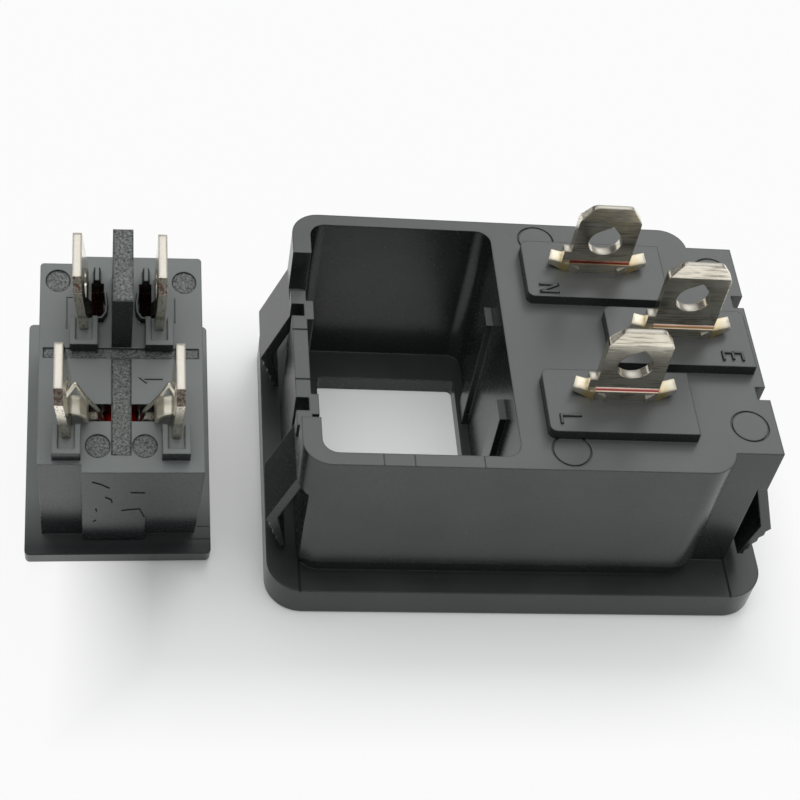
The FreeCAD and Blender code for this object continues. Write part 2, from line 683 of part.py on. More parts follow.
def blade_tongue(x, y_mid):
    """A lanced tongue on the blade's inner face, bent away from it just above the rear wall."""
    root = x + BLADE_T / 8
    inner = x - BLADE_T / 2
    low = CASE_TOP + TONGUE_GAP
    points = [(root, low + TONGUE_H), (inner - 0.5 * TONGUE_OUT, low + 0.75 * TONGUE_H),
              (inner - 0.9 * TONGUE_OUT, low + 0.4 * TONGUE_H), (inner - TONGUE_OUT, low),
              (inner - 0.75 * TONGUE_OUT, low), (inner - 0.65 * TONGUE_OUT, low + 0.35 * TONGUE_H),
              (inner - 0.35 * TONGUE_OUT, low + 0.6 * TONGUE_H), (root, low + 0.75 * TONGUE_H)]
    return profile_xz(points, y_mid - TONGUE_W / 2, y_mid + TONGUE_W / 2)


def near_terminal(lean):
    """Right-hand near terminal: a blade whose inner end turns over into the contact shelf."""
    y0, y1 = NEAR_Y0, NEAR_Y0 + BLADE_W
    blade = leaning_blade(NEAR_X, y0, [(y0, SHELF_Z), (y1, SHELF_Z)], lean)
    shelf_y = PIVOT_Y - CONTACT_Y
    shelf = box(FAR_X - LEVER_W / 2, NEAR_X, shelf_y - SHELF_W / 2, shelf_y + SHELF_W / 2,
                SHELF_Z, SHELF_Z + BLADE_T)
    solid = joined(blade, shelf, blade_tongue(NEAR_X, y0 + 0.45 * BLADE_W))
    return solid.cut(Part.makeCylinder(SHANK_R, 2 * BLADE_T, Vector(FAR_X, shelf_y, SHELF_Z)))


def far_terminal(lean):
    """Right-hand far terminal: a flat plate whose inner end carries the lever's fulcrum."""
    rear = CASE_TOP - CASE_REAR_T
    y1 = FAR_Y0 + BLADE_W
    half, point, fall = FULCRUM_W / 2.0, FULCRUM_POINT / 2.0, FULCRUM_Z + FULCRUM_H
    foot = [(FAR_Y0, rear), (PIVOT_Y - half, rear), (PIVOT_Y - half, fall), (PIVOT_Y - point, FULCRUM_Z),
            (PIVOT_Y + point, FULCRUM_Z), (PIVOT_Y + half, fall), (y1, fall)]
    plate = leaning_blade(FAR_X, FAR_Y0, foot, lean)
    barb_y = FAR_Y0 + BOSS_LAP + BARB_GAP
    out, low = FAR_X - BLADE_T / 2 - BARB_OUT, CASE_TOP + BARB_GAP
    barb = profile_xz([(FAR_X, low), (out, low), (out, low + BARB_H / 3), (FAR_X, low + BARB_H)],
                      barb_y, barb_y + BARB_W)
    return joined(plate, barb)


def about_x(shape, y, z, degrees):
    """The shape turned about the line along x through (y, z)."""
    turned = shape.copy()
    turned.rotate(Vector(0, y, z), Vector(1, 0, 0), degrees)
    return turned


def contact_lever():
    """Right-hand see-saw lever: a strip bent upwards on both sides of the fulcrum, level before turning."""
    rise = math.tan(math.radians(LEVER_RISE))
    z = FULCRUM_Z - FULCRUM_GAP
    near, far = PIVOT_Y - LEVER_NEAR, PIVOT_Y + LEVER_FAR
    points = [(near, z - LEVER_NEAR * rise), (PIVOT_Y, z), (far, z - LEVER_FAR * rise),
              (far, z - LEVER_FAR * rise - LEVER_T), (PIVOT_Y, z - LEVER_T),
              (near, z - LEVER_NEAR * rise - LEVER_T)]
    strip = profile_yz(points, FAR_X - LEVER_W / 2, FAR_X + LEVER_W / 2)
    return strip.cut(moving_rivet_shank())


def lever_contact_point():
    """Point (y, z) on the lever's rear face, under the moving contact."""
    rise = math.tan(math.radians(LEVER_RISE))
    return PIVOT_Y - CONTACT_Y, FULCRUM_Z - FULCRUM_GAP - CONTACT_Y * rise


def moving_rivet_shank():
    """The shank of the moving contact, square to the lever."""
    y, z = lever_contact_point()
    axis = Vector(0, -math.sin(math.radians(LEVER_RISE)), math.cos(math.radians(LEVER_RISE)))
    return Part.makeCylinder(SHANK_R, LEVER_T, Vector(FAR_X, y, z) - axis * LEVER_T, axis)


def moving_contact():
    """Right-hand moving contact rivet, with its head on the lever's rear face."""
    y, z = lever_contact_point()
    axis = Vector(0, -math.sin(math.radians(LEVER_RISE)), math.cos(math.radians(LEVER_RISE)))
    head = Part.makeCylinder(RIVET_R, RIVET_H, Vector(FAR_X, y, z), axis)
    return joined(head, moving_rivet_shank())


def fixed_contact():
    """Right-hand fixed contact rivet, headed on the shelf of the near terminal."""
    y = PIVOT_Y - CONTACT_Y
    head = Part.makeCylinder(RIVET_R, RIVET_H, Vector(FAR_X, y, SHELF_Z - RIVET_H))
    shank = Part.makeCylinder(SHANK_R, BLADE_T, Vector(FAR_X, y, SHELF_Z))
    return joined(head, shank)


def rocker_outline(wall):
    """Outline (y, z) of the rocker, level, drawn in by a wall thickness."""
    tip_y, tip_z = ROCKER_TIP_Y - wall, PIVOT_Z - ROCKER_TIP_Z + 1.2 * wall
    skirt_y, foot_y = ROCKER_SKIRT_Y - wall, ROCKER_FOOT_Y - wall
    skirt_z, foot_z = PIVOT_Z - ROCKER_SKIRT_Z, PIVOT_Z - ROCKER_FOOT_Z
    mid_z = PIVOT_Z - ROCKER_MID_Z + wall
    half = [(tip_y, tip_z), (skirt_y, skirt_z), (foot_y, foot_z + (0.01 if wall else 0))]
    return ([(PIVOT_Y, mid_z)] + [(PIVOT_Y + y, z) for y, z in half]
            + [(PIVOT_Y - y, z) for y, z in reversed(half)])


def rocker():
    """The rocker, level: a hollow cap with two journals and two plunger tubes."""
    half = ROCKER_W / 2.0
    cap = profile_yz(rocker_outline(0.0), -half, half)
    tips = [e for e in cap.Edges if all(abs(v.Z - (PIVOT_Z - ROCKER_TIP_Z)) < 1e-6 for v in e.Vertexes)
            and e.Length > 1.0]
    cap = cap.makeFillet(TIP_R, tips)
    cap = cap.cut(profile_yz(rocker_outline(ROCKER_WALL), -half + ROCKER_WALL, half - ROCKER_WALL))
    foot, end = CHEEK_FOOT_W / 2, CHEEK_W / 2
    low, high = PIVOT_Z - ROCKER_FOOT_Z - ROCKER_WALL / 2, PIVOT_Z + end
    cheek = profile_yz([(PIVOT_Y - foot, low), (PIVOT_Y + foot, low), (PIVOT_Y + end, high),
                        (PIVOT_Y - end, high)], half - ROCKER_WALL, half)
    top = PIVOT_Z - ROCKER_MID_Z + ROCKER_WALL / 2
    tube = Part.makeCylinder(TUBE_R, PIVOT_Z + TUBE_END - top, Vector(FAR_X, PIVOT_Y, top))
    bore_z = top + ROCKER_WALL
    bore = Part.makeCylinder(PLUNGER_R + RUN, PIVOT_Z + TUBE_END - bore_z + 1, Vector(FAR_X, PIVOT_Y, bore_z))
    root = Vector(half - 0.2, PIVOT_Y, PIVOT_Z)
    journal = Part.makeCylinder(JOURNAL_R, JOURNAL_L + 0.2, root, Vector(1, 0, 0))
    right = [cheek, tube, journal]
    solid = joined(cap, *(right + [mirrored_x(s) for s in right]))
    return solid.cut([bore, mirrored_x(bore)])


def spring_seat_z():
    """Height of the floor of a plunger tube, where its spring ends."""
    return PIVOT_Z - ROCKER_MID_Z + 1.5 * ROCKER_WALL


def plunger():
    """Right-hand plunger with a round tip, in a level rocker."""
    length = PLUNGER_TIP - PLUNGER_START - PLUNGER_R
    rod = Part.makeCylinder(PLUNGER_R, length, Vector(FAR_X, PIVOT_Y, PIVOT_Z + PLUNGER_START))
    ball = Part.makeSphere(PLUNGER_R, Vector(FAR_X, PIVOT_Y, PIVOT_Z + PLUNGER_TIP - PLUNGER_R))
    return joined(rod, ball)


def plunger_spring():
    """Right-hand plunger spring, between the tube's floor and the plunger."""
    low = spring_seat_z() + SPRING_WIRE
    high = PIVOT_Z + PLUNGER_START - SPRING_WIRE
    helix = Part.makeHelix((high - low) / SPRING_TURNS, high - low, SPRING_R)
    section = Part.Wire(Part.makeCircle(SPRING_WIRE, Vector(SPRING_R, 0, 0), Vector(0, 1, 0)))
    coil = Part.Wire(helix).makePipeShell([section], True, True)
    coil.translate(Vector(FAR_X, PIVOT_Y, low))
    return coil


# Lamp of the switch

def wire(points, radius):
    """Round wire through points, with balls at the bends."""
    pieces = []
    for a, b in zip(points[:-1], points[1:]):
        pieces.append(Part.makeCylinder(radius, (b - a).Length, a, b - a))
    pieces += [Part.makeSphere(radius, p) for p in points[1:-1]]
    return joined(pieces[0], *pieces[1:])


def neon_lamp():
    """The glow lamp's glass, lying along y behind the windows, with its pinched end towards the far side."""
    rod = Part.makeCylinder(LAMP_R, LAMP_L, Vector(0, LAMP_Y0, LAMP_Z), Vector(0, 1, 0))
    nose = Part.makeSphere(LAMP_R, Vector(0, LAMP_Y0, LAMP_Z))
    pinch = box(-LAMP_R, LAMP_R, LAMP_Y0 + LAMP_L - 0.2, LAMP_Y0 + LAMP_L + 0.9, LAMP_Z - 0.45, LAMP_Z + 0.45)
    return joined(rod, nose, pinch)


def lead_points(side, start):
    """The way of a lamp lead from its start, out of a window and through the hole of a near terminal."""
    x, jog = side * LEAD_X, side * (LEAD_X + LEAD_JOG)
    y = (WINDOW_Y0 + WINDOW_Y1) / 2.0
    hole_y = NEAR_Y0 + BLADE_W / 2
    knee_y = hole_y + BLADE_HOLE_R / 2
    end_z = BLADE_HOLE_Z - BLADE_HOLE_R + WIRE_R + WIRE_TOUCH
    return [start, start + Vector(0, 0.6, 0), Vector(x, start.y + 0.6, LAMP_Z + 1.4),
            Vector(x, y, CASE_TOP - CASE_REAR_T - 0.6), Vector(jog, y, CASE_TOP + LEAD_JOG),
            Vector((jog + side * NEAR_X) / 2, (y + knee_y) / 2, BLADE_HOLE_Z - BLADE_HOLE_R),
            Vector(side * (NEAR_X - BLADE_T), knee_y, BLADE_HOLE_Z + WIRE_R),
            Vector(side * NEAR_X, hole_y, end_z)]


def pinch_end():
    """Middle of the lamp's pinched end."""
    return Vector(0, LAMP_Y0 + LAMP_L + 0.9, LAMP_Z)


def lamp_lead_left():
    """The lead straight from the lamp to the left near terminal."""
    end = pinch_end() + Vector(-0.6, 0, 0)
    return wire(lead_points(-1, end), WIRE_R)


def resistor_end():
    """Start of the resistor's body, beyond the lamp's pinched end."""
    return pinch_end() + Vector(0.6, 0.8, 0)


def resistor():
    """The series resistor and the short lead that it shares with the lamp."""
    start = resistor_end()
    body = Part.makeCylinder(RESISTOR_R, RESISTOR_L, start, Vector(0, 1, 0))
    body = body.makeFillet(0.3, [e for e in body.Edges if e.Curve.TypeId == "Part::GeomCircle"])
    link = Part.makeCylinder(WIRE_R, 1.0, pinch_end() + Vector(0.6, 0, 0), Vector(0, 1, 0))
    return joined(body, link)


def lamp_lead_right():
    """The lead from the resistor back to the right near terminal."""
    end = resistor_end() + Vector(0, RESISTOR_L, 0)
    return wire(lead_points(1, end), WIRE_R)


# Placing the switch

def raised_tip():
    """Point (y, z) of the rocker's raised end in the switch frame, at rest."""
    t = math.radians(THROW_HALF)
    y = PIVOT_Y + ROCKER_TIP_Y * math.cos(t) - ROCKER_TIP_Z * math.sin(t)
    z = PIVOT_Z - ROCKER_TIP_Y * math.sin(t) - ROCKER_TIP_Z * math.cos(t)
    return y, z


def switch_place():
    """The switch lies on the bezel's near edge and on the rocker's raised end, sunk by their rounding."""
    y, z = raised_tip()
    tilt = math.degrees(math.atan2(-z, y))
    turn = Rotation(Vector(0, 0, 1), SWITCH_YAW).multiply(Rotation(Vector(1, 0, 0), tilt))
    return Placement(Vector(SWITCH_X, SWITCH_Y, -EDGE_SINK), turn)


def in_rocker(shape):
    """A piece that sits in the level rocker, turned to the rest position."""
    return about_x(shape, PIVOT_Y, PIVOT_Z, -THROW_HALF)


def on_lever(shape):
    """A piece of the level lever, turned to the rest position."""
    return about_x(shape, PIVOT_Y, FULCRUM_Z, LEVER_HALF)


def pair(name, shape):
    """The right-hand piece and its mirrored left-hand twin."""
    return {name + "_right": shape, name + "_left": mirrored_x(shape)}


def inlet_pieces():
    """Every piece of the inlet by node name."""
    names = ("line_pin", "neutral_pin", "earth_pin")
    pieces = {"inlet_housing": inlet_housing()}
    for name, (x, y), tab_x, top in zip(names, pin_places(), TAB_XS, TAB_TOPS):
        pieces[name] = contact_pin(x, tab_x, y, top)
    return pieces


def switch_pieces():
    """Every piece of the switch by node name, in the switch frame."""
    pieces = {"switch_housing": switch_housing(), "rocker": in_rocker(rocker()),
              "neon_lamp": neon_lamp(), "resistor": resistor(),
              "lamp_lead_left": lamp_lead_left(), "lamp_lead_right": lamp_lead_right()}
    for side, lean, turned in (("right", LEAN_RIGHT, lambda s: s), ("left", LEAN_LEFT, mirrored_x)):
        pieces["contact_terminal_" + side] = turned(near_terminal(lean))
        pieces["fulcrum_terminal_" + side] = turned(far_terminal(lean))
    pieces.update(pair("fixed_contact", fixed_contact()))
    pieces.update(pair("contact_lever", on_lever(contact_lever())))
    pieces.update(pair("moving_contact", on_lever(moving_contact())))
    pieces.update(pair("plunger", in_rocker(plunger())))
    pieces.update(pair("plunger_spring", in_rocker(plunger_spring())))
    return pieces


def main():
    """Builds every piece and writes one STEP file for each."""
    os.makedirs("parts", exist_ok=True)
    for name, shape in inlet_pieces().items():
        shape.exportStep("parts/" + name + ".step")
    place = switch_place()
    for name, shape in switch_pieces().items():
        shape.transformShape(place.toMatrix(), True)
        shape.exportStep("parts/" + name + ".step")


main()
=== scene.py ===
"""Dresses a snap-in mains inlet and the small rocker switch that lies beside it, both face down.

Lengths in this file are millimetres unless a docstring says otherwise. They turn to metres where a mesh or a
texture is made.
"""
import json
import logging
import math
from collections.abc import Iterable, Sequence
from dataclasses import dataclass, field
from enum import Enum

import bpy
import numpy as np
from mathutils import Matrix, Vector


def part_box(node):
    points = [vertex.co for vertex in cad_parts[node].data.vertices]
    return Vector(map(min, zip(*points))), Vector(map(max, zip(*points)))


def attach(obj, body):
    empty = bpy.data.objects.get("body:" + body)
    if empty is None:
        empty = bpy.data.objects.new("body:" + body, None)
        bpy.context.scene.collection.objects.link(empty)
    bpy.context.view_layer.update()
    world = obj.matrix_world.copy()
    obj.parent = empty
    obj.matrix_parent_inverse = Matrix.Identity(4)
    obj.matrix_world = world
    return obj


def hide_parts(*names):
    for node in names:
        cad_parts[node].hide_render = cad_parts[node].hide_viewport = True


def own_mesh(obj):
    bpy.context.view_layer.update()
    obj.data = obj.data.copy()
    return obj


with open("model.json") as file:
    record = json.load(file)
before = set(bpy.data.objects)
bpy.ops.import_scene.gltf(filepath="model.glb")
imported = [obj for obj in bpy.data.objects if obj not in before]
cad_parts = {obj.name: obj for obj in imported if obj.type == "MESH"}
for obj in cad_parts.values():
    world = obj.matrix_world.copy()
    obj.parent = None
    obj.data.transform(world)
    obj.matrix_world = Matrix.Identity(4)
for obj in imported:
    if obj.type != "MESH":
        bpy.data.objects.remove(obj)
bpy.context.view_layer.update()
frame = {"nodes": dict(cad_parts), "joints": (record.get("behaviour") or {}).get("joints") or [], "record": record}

MM = 0.001
ROOT = "inlet_and_switch_case"
# Most of a noise pattern lies between these two values
NOISE_SPAN = (0.3, 0.7)
# Octaves of a pattern with fine detail, and the weight of the finer ones
OCTAVES = 3.0
FINE_WEIGHT = 0.6
BEVEL_SAMPLES = 4
log = logging.getLogger("scene")

Tree = bpy.types.NodeTree
Node = bpy.types.Node
Source = bpy.types.Node | bpy.types.NodeSocket
Solid = tuple[np.ndarray, list]
Path = tuple[tuple[float, float], ...]
Area = tuple[float, float, float, float]


# Colours and nodes

class Kind(Enum):
    """The kinds of shader node in use."""

    COORDS = "ShaderNodeTexCoord"
    MAPPING = "ShaderNodeMapping"
    AXES = "ShaderNodeSeparateXYZ"
    NOISE = "ShaderNodeTexNoise"
    CELLS = "ShaderNodeTexVoronoi"
    RANGE = "ShaderNodeMapRange"
    RAMP = "ShaderNodeValToRGB"
    MATH = "ShaderNodeMath"
    MIX = "ShaderNodeMix"
    BEVEL = "ShaderNodeBevel"
    BUMP = "ShaderNodeBump"
    RAY = "ShaderNodeLightPath"
    GLOW = "ShaderNodeEmission"
    BLEND = "ShaderNodeMixShader"


def linear(code: str) -> tuple[float, float, float, float]:
    """Linear RGBA of an sRGB hex colour.

    Args:
        code: Six hex digits after a hash sign.

    Returns:
        The colour in scene-linear values with full alpha.
    """
    parts = [int(code[i:i + 2], 16) / 255.0 for i in (1, 3, 5)]
    values = [c / 12.92 if c <= 0.04045 else ((c + 0.055) / 1.055) ** 2.4 for c in parts]
    return (*values, 1.0)


def feed(tree: Tree, node: Node, inputs: dict | Sequence) -> None:
    """Sets a node's sockets or links what feeds them.

    Args:
        tree: The node tree.
        node: The node.
        inputs: What goes into its sockets, by name, or into the first ones in their order: a node, whose
            first output in use is taken, an output socket or a plain value.
    """
    for socket, value in inputs.items() if isinstance(inputs, dict) else enumerate(inputs):
        if isinstance(value, Node):
            value = next(out for out in value.outputs if out.enabled)
        if isinstance(value, bpy.types.NodeSocket):
            tree.links.new(value, node.inputs[socket])
        else:
            node.inputs[socket].default_value = value


def add_node(tree: Tree, kind: Kind, inputs: dict | Sequence = (), stops: Sequence = (), **settings) -> Node:
    """Adds a node with its settings, socket values and incoming links.

    Args:
        tree: The node tree.
        kind: The node's kind.
        inputs: What goes into its sockets, as for feed.
        stops: Pairs of place and sRGB hex colour, for a colour ramp.
        settings: Properties of the node itself.

    Returns:
        The new node.
    """
    node = tree.nodes.new(kind.value)
    for name, value in settings.items():
        setattr(node, name, value)
    feed(tree, node, inputs)
    if stops:
        elements = node.color_ramp.elements
        while len(elements) < len(stops):
            elements.new(0.5)
        for element, (place, code) in zip(elements, stops):
            element.position = place
            element.color = linear(code)
    return node


def per_mm(size: float) -> float:
    """Texture scale, in waves per metre, of a pattern whose features are size millimetres apart."""
    return 1.0 / (size * MM)


# Finishes

class Finish:
    """A material that is built once and then shared by the pieces that have it."""

    name: str

    def material(self) -> bpy.types.Material:
        """The finish's material, built on first use.

        Returns:
            The material.
        """
        found = bpy.data.materials.get(self.name)
        if found:
            return found
        made = bpy.data.materials.new(self.name)
        made.use_nodes = True
        self.build(made.node_tree, made.node_tree.nodes["Principled BSDF"])
        return made

    def build(self, tree: Tree, shader: Node) -> None:
        """Feeds the shader; each finish has its own way."""
        raise NotImplementedError


@dataclass(frozen=True)
class MouldedNylon(Finish):
    """Black glass-filled nylon, injection moulded.

    The eye sees a satin black with a fine grain, soft edges and sparse pale dust. The faces that look up are
    duller than the walls and carry a light grey painted highlight for the light that falls on them, which fades
    out on low faces as painted shade.
    """

    name: str = "black_nylon_moulded"
    dark: str = "#242627"
    light: str = "#2f3231"
    tone_size: float = 5.0
    dust: str = "#5d605f"
    dust_gap: float = 1.6
    # Inner and outer radius of a speck, as shares of the gap
    dust_rim: tuple[float, float] = (0.03, 0.06)
    dust_share: float = 0.45
    # Painted highlight: a light grey mixed into the faces that look up, for the light that falls on them. It fades
    # out towards low heights, which paints shade on the low faces.
    painted_highlight: str = "#6c706f"
    painted_highlight_share: float = 0.3
    painted_highlight_low: float = 5.0
    painted_highlight_high: float = 10.0
    # Upright part of the normal, from a face that counts as a wall to one that looks up
    rear_from: tuple[float, float] = (0.8, 0.95)
    rear_dull: float = 0.16
    rough_low: float = 0.22
    rough_high: float = 0.28
    # The real grain, about 0.05 mm, is too fine to show, so it is drawn as coarse as it needs to show
    grain: float = 0.22
    grain_depth: float = 0.005
    bump: float = 0.35
    edge: float = 0.18
    sheen: float = 0.55
    ior: float = 1.53

    def build(self, tree: Tree, shader: Node) -> None:
        """Mottled black under dust and a painted highlight on faces that look up, and grain on softened edges.

        Args:
            tree: The material's node tree.
            shader: Its Principled shader.
        """
        coords = add_node(tree, Kind.COORDS).outputs
        at = coords["Object"]
        up = add_node(tree, Kind.AXES, [coords["Normal"]]).outputs["Z"]
        rear = add_node(tree, Kind.RANGE, [up, *self.rear_from])
        mottle = add_node(tree, Kind.NOISE, {"Vector": at, "Scale": per_mm(self.tone_size),
                                             "Detail": OCTAVES})
        tone = add_node(tree, Kind.RAMP, [mottle], list(zip(NOISE_SPAN, (self.dark, self.light))))
        cells = add_node(tree, Kind.CELLS, {"Vector": at, "Scale": per_mm(self.dust_gap)})
        speck = add_node(tree, Kind.RANGE, [cells, *self.dust_rim, self.dust_share, 0.0])
        dusty = add_node(tree, Kind.MIX, {"Factor": speck, "A": tone, "B": linear(self.dust)},
                         data_type="RGBA")
        height = add_node(tree, Kind.AXES, [at]).outputs["Z"]
        # Share of the painted highlight: none on low faces, which keeps a painted shade there, and full higher up
        clear = add_node(tree, Kind.RANGE, [height, self.painted_highlight_low * MM, self.painted_highlight_high * MM, 0.0,
                                            self.painted_highlight_share])
        share = add_node(tree, Kind.MATH, [clear, rear], operation="MULTIPLY")
        highlight_painted = add_node(tree, Kind.MIX, {"Factor": share, "A": dusty, "B": linear(self.painted_highlight)},
                           data_type="RGBA")
        fine = add_node(tree, Kind.NOISE, {"Vector": at, "Scale": per_mm(self.grain), "Detail": OCTAVES,
                                           "Roughness": FINE_WEIGHT})
        gloss = add_node(tree, Kind.RANGE, [fine, *NOISE_SPAN, self.rough_low, self.rough_high])
        rough = add_node(tree, Kind.MATH, [rear, self.rear_dull, gloss], operation="MULTIPLY_ADD")
        soft = add_node(tree, Kind.BEVEL, {"Radius": self.edge * MM}, samples=BEVEL_SAMPLES)
        bump = add_node(tree, Kind.BUMP, {"Strength": self.bump, "Distance": self.grain_depth * MM,
                                          "Height": fine, "Normal": soft})
        feed(tree, shader, {"Base Color": highlight_painted, "Roughness": rough, "Normal": bump, "IOR": self.ior,
                            "Specular IOR Level": self.sheen})


@dataclass(frozen=True)
class SatinNylon(MouldedNylon):
    """The switch's nylon, from a smoother mould: a darker base, which the walls show, and a stronger painted
    highlight on the faces that look up.
    """

    name: str = "black_nylon_satin"
    dark: str = "#1e2122"
    light: str = "#272b2c"
    # A strong painted highlight for the light on faces that look up, faded out on the lowest faces as painted
    # shade
    painted_highlight: str = "#7b807f"
    painted_highlight_share: float = 0.85
    painted_highlight_low: float = 2.1
    painted_highlight_high: float = 3.4
    rough_low: float = 0.24
    rough_high: float = 0.28
    grain_depth: float = 0.002
    sheen: float = 0.25


@dataclass(frozen=True)
class ErodedNylon(MouldedNylon):
    """The same nylon where the mould was spark eroded: coarse and dull, with a fine speckle of pale and dark, a
    painted highlight and painted shade for the light on the peaks and the shade in the pits.
    """

    name: str = "black_nylon_eroded"
    # The pale and dark ends of the speckle are painted highlight and painted shade
    dark: str = "#2c2e2e"
    light: str = "#7e8280"
    tone_size: float = 0.16
    painted_highlight_share: float = 0.0
    rough_low: float = 0.5
    rough_high: float = 0.75
    grain: float = 0.2
    grain_depth: float = 0.05
    sheen: float = 0.65


@dataclass(frozen=True)
class ScuffShadeNylon(MouldedNylon):
    """A scratch in the nylon, drawn as a raised stroke that is dull and almost black: painted shade for the shade
    inside the scratch.
    """

    name: str = "black_nylon_scuffed"
    dark: str = "#121314"
    light: str = "#1c1e1f"
    painted_highlight_share: float = 0.0
    rough_low: float = 0.6
    rough_high: float = 0.8
    sheen: float = 0.2


@dataclass(frozen=True)
class NickelPlate(Finish):
    """Bright nickel on stamped brass.

    The eye sees almost a mirror, with fine draw lines, a few dull clouds, and greyer, matt sheared edges.
    """

    name: str
    plate: str = "#f4eedf"
    dull: str = "#dfd8c8"
    cloud: float = 2.6
    cloud_span: tuple[float, float] = (0.4, 0.6)
    drawn: str = "#7d7668"
    # Real draw lines, about 0.03 mm apart, are too fine to show, so these are as coarse as they need to be
    line: float = 0.14
    line_span: tuple[float, float] = (0.52, 0.64)
    line_share: float = 0.6
    line_depth: float = 0.01
    # Scale along x, y and z, small in the direction in which the strip was drawn
    stretch: tuple[float, float, float] = (1.0, 1.0, 0.06)
    sheared: str = "#b8b4aa"
    # Upright part of the normal, from a face of the strip to a sheared edge
    edge_from: tuple[float, float] = (0.8, 0.9)
    # Edges are rounded by edge_r on bright plate, and by worn_r where the matt mask is at its most
    edge_r: float = 0.07
    worn_r: float = 0.5
    most_matt: float = 2.0
    rough_low: float = 0.14
    rough_high: float = 0.26
    matt_rough: float = 0.28
    bump: float = 0.12

    def build(self, tree: Tree, shader: Node) -> None:
        """Cloudy plate with draw lines in its colour, roughness and bump, and what is bare or matt on it.

        Args:
            tree: The material's node tree.
            shader: Its Principled shader.
        """
        coords = add_node(tree, Kind.COORDS).outputs
        at = coords["Object"]
        along = add_node(tree, Kind.MAPPING, {"Vector": at, "Scale": self.stretch})
        lines = add_node(tree, Kind.NOISE, {"Vector": along, "Scale": per_mm(self.line), "Detail": OCTAVES,
                                            "Roughness": FINE_WEIGHT})
        clouds = add_node(tree, Kind.NOISE, {"Vector": at, "Scale": per_mm(self.cloud)})
        tone = add_node(tree, Kind.RAMP, [clouds], list(zip(self.cloud_span, (self.dull, self.plate))))
        streak = add_node(tree, Kind.RANGE, [lines, *self.line_span, 0.0, self.line_share])
        drawn = add_node(tree, Kind.MIX, {"Factor": streak, "A": tone, "B": linear(self.drawn)},
                         data_type="RGBA")
        up = add_node(tree, Kind.AXES, [coords["Normal"]]).outputs["Z"]
        edge = add_node(tree, Kind.RANGE, [up, *self.edge_from])
        cut = add_node(tree, Kind.MIX, {"Factor": edge, "A": drawn, "B": linear(self.sheared)},
                       data_type="RGBA")
        colour, matt = self.bare(tree, at, cut, edge)
        gloss = add_node(tree, Kind.RANGE, [lines, *NOISE_SPAN, self.rough_low, self.rough_high])
        rough = add_node(tree, Kind.MATH, [matt, self.matt_rough, gloss], operation="MULTIPLY_ADD")
        radius = add_node(tree, Kind.RANGE, [matt, 0.0, self.most_matt, self.edge_r * MM, self.worn_r * MM])
        soft = add_node(tree, Kind.BEVEL, {"Radius": radius}, samples=BEVEL_SAMPLES)
        bump = add_node(tree, Kind.BUMP, {"Strength": self.bump, "Distance": self.line_depth * MM,
                                          "Height": lines, "Normal": soft})
        feed(tree, shader, {"Base Color": colour, "Roughness": rough, "Normal": bump, "Metallic": 1.0})

    def bare(self, tree: Tree, at: Source, tone: Source, edge: Source) -> tuple[Source, Source]:
        """The places where the plate is thin or covered; each kind of pin has its own."""
        raise NotImplementedError


